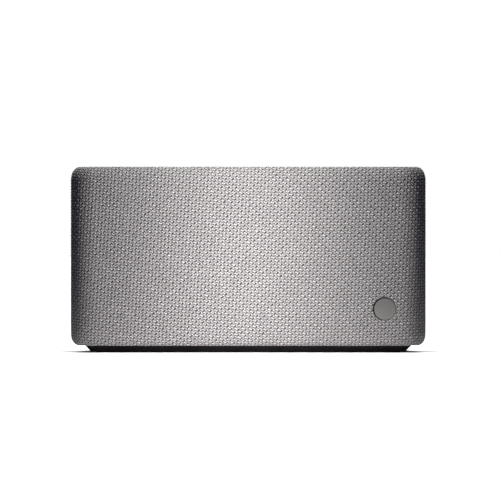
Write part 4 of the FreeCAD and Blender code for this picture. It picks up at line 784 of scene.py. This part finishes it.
powder = moulded("black_powder_coat", (0.022, 0.022, 0.024), (0.16, 0.16, 0.16),
                 roughness=0.46, grain=1900.0, depth=0.06, wear=0.35, edge=0.25)[0]
zinc = metal("zinc_plate", (0.36, 0.36, 0.34), (0.58, 0.58, 0.55), 0.30, 1100.0, (1.0, 14.0, 1.0))[0]
ferrite, tree, shader = moulded("ground_ferrite", (0.045, 0.045, 0.05), (0.15, 0.15, 0.155),
                                roughness=0.50, grain=3200.0, depth=0.03, wear=0.9, edge=0.30)
feed(shader, Metallic=0.2)
for side in ("left", "right"):
    dress(powder, side + "_basket")
    dress(zinc, side + "_top_plate", side + "_yoke")
    dress(ferrite, side + "_magnet")

    paper, tree, shader = new_material(side + "_coated_paper", 0.62)
    from_middle, out = about_axis(tree, side + "_cone")
    fibres = noise(from_middle, 700.0, 4.0, 0.7, (1.0, 0.2, 1.0))
    rings = maths("SINE", maths("MULTIPLY", out, 5200.0))
    # The pressed rings also paint faint light and shade into the cone's colour, lighter where they are raised.
    shade = maths("MULTIPLY_ADD", rings, 0.10, fibres)
    feed(shader, Base_Color=blend_colour(ramp(shade, 0.25, 0.75), (0.030, 0.030, 0.033), (0.085, 0.084, 0.088)),
         Roughness=ramp(fibres, 0.2, 0.8, 0.5, 0.78))
    raise_bump(shader, maths("MULTIPLY_ADD", rings, 0.25, fibres), 0.5, 0.12 * mm)
    dress(paper, side + "_cone")

    cap, tree, shader = new_material(side + "_spun_cap", 0.34, 0.8)
    from_middle, out = about_axis(tree, side + "_dust_cap")
    rings = maths("SINE", maths("MULTIPLY", out, 26000.0))
    haze = noise(from_middle, 220.0, 3.0)
    feed(shader, Base_Color=blend_colour(ramp(haze, 0.3, 0.7), (0.20, 0.20, 0.215), (0.31, 0.31, 0.33)),
         Roughness=ramp(haze, 0.2, 0.8, 0.26, 0.44))
    raise_bump(shader, rings, 0.25, 0.01 * mm)
    dress(cap, side + "_dust_cap")

    coil, tree, shader = new_material(side + "_enamelled_copper", 0.30, 1.0)
    from_middle, _ = about_axis(tree, side + "_voice_coil")
    turns = stripes(split(from_middle)["Y"], 0.16 * mm)
    # The wire is painted dark brown in the grooves between turns and bright copper on each turn's crown: painted
    # shade and highlight.
    feed(shader, Base_Color=blend_colour(ramp(turns, 0.1, 0.7), (0.22, 0.07, 0.03), (0.78, 0.36, 0.20)),
         Roughness=ramp(turns, 0.1, 0.9, 0.55, 0.26))
    raise_bump(shader, turns, 0.8, 0.08 * mm)
    dress(coil, side + "_voice_coil")

    spider, tree, shader = new_material(side + "_spider_cloth", 0.75)
    from_middle, _ = about_axis(tree, side + "_spider")
    apart = split(from_middle)
    open_weave = maths("MAXIMUM", stripes(apart["X"], 0.22 * mm), stripes(apart["Z"], 0.22 * mm))
    resin = noise(from_middle, 180.0, 3.0)
    colour = blend_colour(ramp(resin, 0.3, 0.7), (0.36, 0.19, 0.06), (0.52, 0.31, 0.12))
    # The hollows between the threads are painted dark brown, as shade in the weave.
    feed(shader, Base_Color=blend_colour(ramp(open_weave, 0.70, 0.95), (0.13, 0.06, 0.02), colour))
    raise_bump(shader, open_weave, 0.7, 0.08 * mm)
    dress(spider, side + "_spider")

surround_rubber, tree, shader = moulded("surround_rubber", (0.016, 0.016, 0.017), (0.035, 0.035, 0.036),
                                        roughness=0.58, grain=900.0, depth=0.03, wear=0.3, edge=0.4)
feed(shader, Sheen_Weight=0.15)
dress(surround_rubber, "left_surround", "right_surround", "radiator_surround")

# ---- Passive radiator ----
# A flat racetrack piston on a rubber roll, in a frame screwed to the cabinet's back. The piston is
# a stiff composite plate with a fine crosswise weave under clear resin.
composite, tree, shader = new_material("piston_composite", 0.42)
apart = split(object_place(tree))
warpwise, weftwise = (maths("SINE", maths("MULTIPLY", maths(way, apart["X"], apart["Z"]), math.pi / (1.1 * mm)))
                      for way in ("ADD", "SUBTRACT"))
check = ramp(maths("MULTIPLY", warpwise, weftwise), -0.25, 0.25)
feed(shader, Base_Color=blend_colour(check, (0.020, 0.020, 0.023), (0.060, 0.060, 0.066)),
     Roughness=ramp(check, 0.0, 1.0, 0.34, 0.52))
raise_bump(shader, check, 0.3, 0.04 * mm)
feed(shader, Coat_Weight=0.5, Coat_Roughness=0.12)
dress(composite, "radiator_piston")

# ---- Key panel, keys and status light ----
# A dark grey soft-touch panel set just below the cloth's crown, with six moulded keys standing a
# little proud of it, two pin-holes for the microphones and one clear light pipe.
soft_touch, tree, shader = moulded("soft_touch_grey", (0.050, 0.050, 0.053), (0.105, 0.105, 0.11),
                                   roughness=0.66, grain=2600.0, depth=0.02, wear=0.45, edge=0.35)
feed(shader, Sheen_Weight=0.2, Sheen_Roughness=0.5)
dress(soft_touch, "top_panel")
key_plastic = moulded("key_grey", (0.088, 0.088, 0.092), (0.19, 0.19, 0.195),
                      roughness=0.48, grain=3000.0, depth=0.012, wear=0.6, edge=0.30)[0]
KEYS = ("power_key", "source_key", "volume_down_key", "play_key", "volume_up_key", "mic_mute_key")
dress(key_plastic, *KEYS)

clear_pipe, tree, shader = new_material("light_pipe", 0.25)
here = object_place(tree)
frost = noise(here, 900.0, 2.0)
feed(shader, Base_Color=blend_colour(ramp(frost, 0.3, 0.7), (0.72, 0.74, 0.76), (0.88, 0.90, 0.92)))
feed(shader, Emission_Color=blend_colour(ramp(frost, 0.2, 0.8), (0.60, 0.72, 0.80), (0.80, 0.92, 1.0)))
feed(shader, Emission_Strength=0.25)
dress(clear_pipe, "status_light_pipe")

# ---- Key symbols ----
# Each key carries a plain working symbol, a raised line pad-printed white: power, source, less,
# play, more, and microphone off.
key_print, tree, shader = new_material("key_print", 0.45)
here = object_place(tree)
shade = ramp(noise(here, 1600.0, 3.0), 0.3, 0.7)
feed(shader, Base_Color=blend_colour(shade, (0.62, 0.62, 0.61), (0.76, 0.76, 0.75)))
raise_bump(shader, noise(here, 5200.0, 1.0), 0.3, 0.01 * mm)


def bow(radius, start, end, x=0.0, y=0.0, steps=28):
    return [(x + radius * math.cos(math.radians(start + (end - start) * k / steps)),
             y + radius * math.sin(math.radians(start + (end - start) * k / steps))) for k in range(steps + 1)]


SYMBOLS = {
    "power_key": [bow(1.65, 125, 415), [(0.0, 0.35), (0.0, 2.1)]],
    "source_key": [[(-0.2, 1.6), (1.9, 1.6), (1.9, -1.6), (-0.2, -1.6)], [(-2.1, 0.0), (0.7, 0.0)],
                   [(-0.1, 0.8), (0.7, 0.0), (-0.1, -0.8)]],
    "volume_down_key": [[(-1.6, 0.0), (1.6, 0.0)]],
    "play_key": [[(-1.1, 1.5), (1.5, 0.0), (-1.1, -1.5), (-1.1, 1.5)]],
    "volume_up_key": [[(-1.6, 0.0), (1.6, 0.0)], [(0.0, -1.6), (0.0, 1.6)]],
    "mic_mute_key": [bow(0.62, 0, 180, 0.0, 1.15) + bow(0.62, 180, 360, 0.0, 0.05) + [(0.62, 1.15)],
                     bow(1.25, 180, 360, 0.0, 0.05), [(0.0, -1.2), (0.0, -2.0)], [(-1.7, 2.0), (1.7, -2.0)]],
}
for key, strokes in SYMBOLS.items():
    low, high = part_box(key)
    x, y = (low.x + high.x) / 2, (low.y + high.y) / 2
    lines = [[(x + u * mm, y + v * mm, high.z - 0.06 * mm) for u, v in stroke] for stroke in strokes]
    thread(key + "_symbol", lines, 0.13 * mm, key_print, key + "_body")

# ---- Circuit boards and what is soldered to them ----
# Fibreglass boards under green mask, with copper tracks and tinned pads. Tact switches, an aluminium
# heat sink and a tinned shield can are soldered to them; the chips are black moulded plastic.
circuit, given, put = new_group("circuit_board", [("Place", "v", None)],
                                [("Color", "c"), ("Height", "f"), ("Roughness", "f")])
apart = split(given["Place"])
wander = noise(given["Place"], 90.0, 0.0)
lanes, cross = (stripes(maths("MULTIPLY_ADD", wander, 1.6 * mm, apart[way]), 0.9 * mm) for way in "YX")
zone = ramp(noise(given["Place"], 55.0, 0.0), 0.47, 0.53)
tracks = ramp(pick(zone, lanes, cross), 0.62, 0.72)
dots = add_node("ShaderNodeTexVoronoi", given["Place"])
feed(dots, Scale=330.0)
pads = maths("SUBTRACT", 1.0, ramp(dots.outputs["Distance"], 0.13, 0.17))
colour = blend_colour(tracks, (0.006, 0.055, 0.022), (0.014, 0.125, 0.050))
plug(blend_colour(pads, colour, (0.62, 0.60, 0.56)), put["Color"])
plug(maths("MAXIMUM", tracks, pads), put["Height"])
plug(maths("MULTIPLY_ADD", pads, 0.08, 0.30), put["Roughness"])
board, tree, shader = new_material("masked_board", 0.3)
here = object_place(tree)
made = place_group(tree, circuit, Place=here)
facing_up = split(face_normal(tree))
flat = ramp(maths("ABSOLUTE", facing_up["Z"]), 0.6, 0.9)
apart = split(here)
board_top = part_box("amplifier_heat_sink")[0].z
on_chip = maths("MULTIPLY", maths("GREATER_THAN", apart["Z"], board_top + 0.3 * mm),
                maths("LESS_THAN", apart["Z"], board_top + 20 * mm))
edge_or_face = blend_colour(flat, (0.30, 0.28, 0.14), made["Color"])
chip = blend_colour(ramp(noise(here, 1800.0, 3.0), 0.3, 0.7), (0.018, 0.018, 0.019), (0.034, 0.034, 0.036))
feed(shader, Base_Color=blend_colour(on_chip, edge_or_face, chip), Roughness=made["Roughness"])
raise_bump(shader, maths("MULTIPLY", made["Height"], flat), 0.5, 0.035 * mm)
dress(board, "main_board", "key_board")

switch_steel = metal("switch_steel", (0.42, 0.42, 0.43), (0.62, 0.62, 0.63), 0.32, 1600.0, (12.0, 1.0, 1.0))[0]
dress(switch_steel, "tact_switches")
sink_metal = metal("extruded_sink", (0.045, 0.045, 0.05), (0.085, 0.085, 0.092), 0.42, 1300.0, (12.0, 1.0, 12.0),
                   depth=0.02, wear=0.8)[0]
dress(sink_metal, "amplifier_heat_sink")
tinned = metal("tinned_can", (0.50, 0.50, 0.49), (0.70, 0.70, 0.68), 0.26, 900.0, (1.0, 10.0, 1.0))[0]
dress(tinned, "wireless_shield_can")

# ---- Sockets and their panel ----
# The charging and audio sockets are glossy black nylon; the USB socket is folded bright steel with a
# pale tongue. A fine-grained dark panel frames them behind the cloth.
socket_nylon = moulded("socket_nylon", (0.014, 0.014, 0.015), (0.05, 0.05, 0.05),
                       roughness=0.34, grain=2400.0, depth=0.01, wear=0.4, edge=0.2)[0]
dress(socket_nylon, "dc_jack", "aux_jack")
folded_steel, tree, shader = metal("folded_steel", (0.52, 0.52, 0.52), (0.74, 0.74, 0.73), 0.24, 900.0,
                                   (1.0, 12.0, 1.0))
usb_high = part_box("usb_port")[1]
here = object_place(tree)
apart = split(here)
inside_x = maths("LESS_THAN", maths("ABSOLUTE", apart["X"]), 5.6 * mm)
inside_z = maths("MULTIPLY", maths("GREATER_THAN", apart["Z"], usb_high.z - 3.2 * mm),
                 maths("LESS_THAN", apart["Z"], usb_high.z - 1.1 * mm))
front_of = maths("LESS_THAN", apart["Y"], usb_high.y - 1.1 * mm)
tongue = maths("MULTIPLY", maths("MULTIPLY", inside_x, inside_z), front_of)
steel_colour = shader.inputs["Base Color"].links[0].from_socket
tongue_tone = blend_colour(ramp(noise(here, 900.0, 2.0), 0.3, 0.7), (0.50, 0.50, 0.49), (0.60, 0.60, 0.585))
feed(shader, Base_Color=blend_colour(tongue, steel_colour, tongue_tone), Metallic=maths("SUBTRACT", 1.0, tongue))
dress(folded_steel, "usb_port")
panel_plastic = moulded("panel_grey", (0.036, 0.036, 0.039), (0.09, 0.09, 0.093),
                        roughness=0.56, grain=2000.0, depth=0.03, wear=0.6, edge=0.35)[0]
dress(panel_plastic, "connector_panel")

# ---- Battery ----
# Two lithium cells in blue-grey shrink sleeve, a little wrinkled at their ends where it is shrunk
# over the caps.
shrink, tree, shader = new_material("shrink_sleeve", 0.34)
here = object_place(tree)
cells_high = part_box("battery_cells")[1]
apart = split(here)
near_end = ramp(maths("ABSOLUTE", apart["X"]), cells_high.x - 5 * mm, cells_high.x - 0.5 * mm)
wrinkles = noise(here, 500.0, 3.0, 0.6, (0.25, 1.0, 1.0))
facing_end = split(face_normal(tree))
end_cap = ramp(maths("ABSOLUTE", facing_end["X"]), 0.7, 0.9)
colour = blend_colour(ramp(noise(here, 60.0, 3.0), 0.3, 0.7), (0.055, 0.095, 0.16), (0.075, 0.125, 0.20))
feed(shader, Base_Color=blend_colour(end_cap, colour, (0.55, 0.55, 0.54)), Metallic=end_cap)
raise_bump(shader, maths("MULTIPLY", wrinkles, maths("MULTIPLY_ADD", near_end, 0.9, 0.1)), 0.5, 0.15 * mm)
dress(shrink, "battery_cells")

# ---- Leads and ribbon ----
# The speaker leads are stranded wire in red and black PVC. The key board's ribbon is flat white
# film with tinned conductors and a blue stiffener at each end.
pvc, tree, shader = new_material("lead_pvc", 0.38)
here = object_place(tree)
apart = split(here)
right_hand = maths("GREATER_THAN", apart["X"], 0.0)
strands = noise(here, 420.0, 2.0, 0.5, (1.0, 1.0, 0.4))
red = blend_colour(ramp(strands, 0.3, 0.7), (0.38, 0.020, 0.018), (0.50, 0.035, 0.030))
black = blend_colour(ramp(strands, 0.3, 0.7), (0.014, 0.014, 0.015), (0.028, 0.028, 0.030))
feed(shader, Base_Color=blend_colour(right_hand, black, red))
raise_bump(shader, strands, 0.25, 0.05 * mm)
dress(pvc, "speaker_leads")

flat_film, tree, shader = new_material("ribbon_film", 0.36)
apart = split(object_place(tree))
conductors = ramp(stripes(apart["X"], 1.0 * mm), 0.45, 0.60)
ribbon_low, ribbon_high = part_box("key_ribbon")
ends = maths("MAXIMUM", maths("GREATER_THAN", apart["Z"], ribbon_high.z - 4 * mm),
             maths("LESS_THAN", apart["Z"], ribbon_low.z + 4 * mm))
colour = blend_colour(conductors, (0.70, 0.70, 0.68), (0.50, 0.50, 0.50))
feed(shader, Base_Color=blend_colour(ends, colour, (0.03, 0.10, 0.34)))
raise_bump(shader, conductors, 0.4, 0.03 * mm)
dress(flat_film, "key_ribbon")
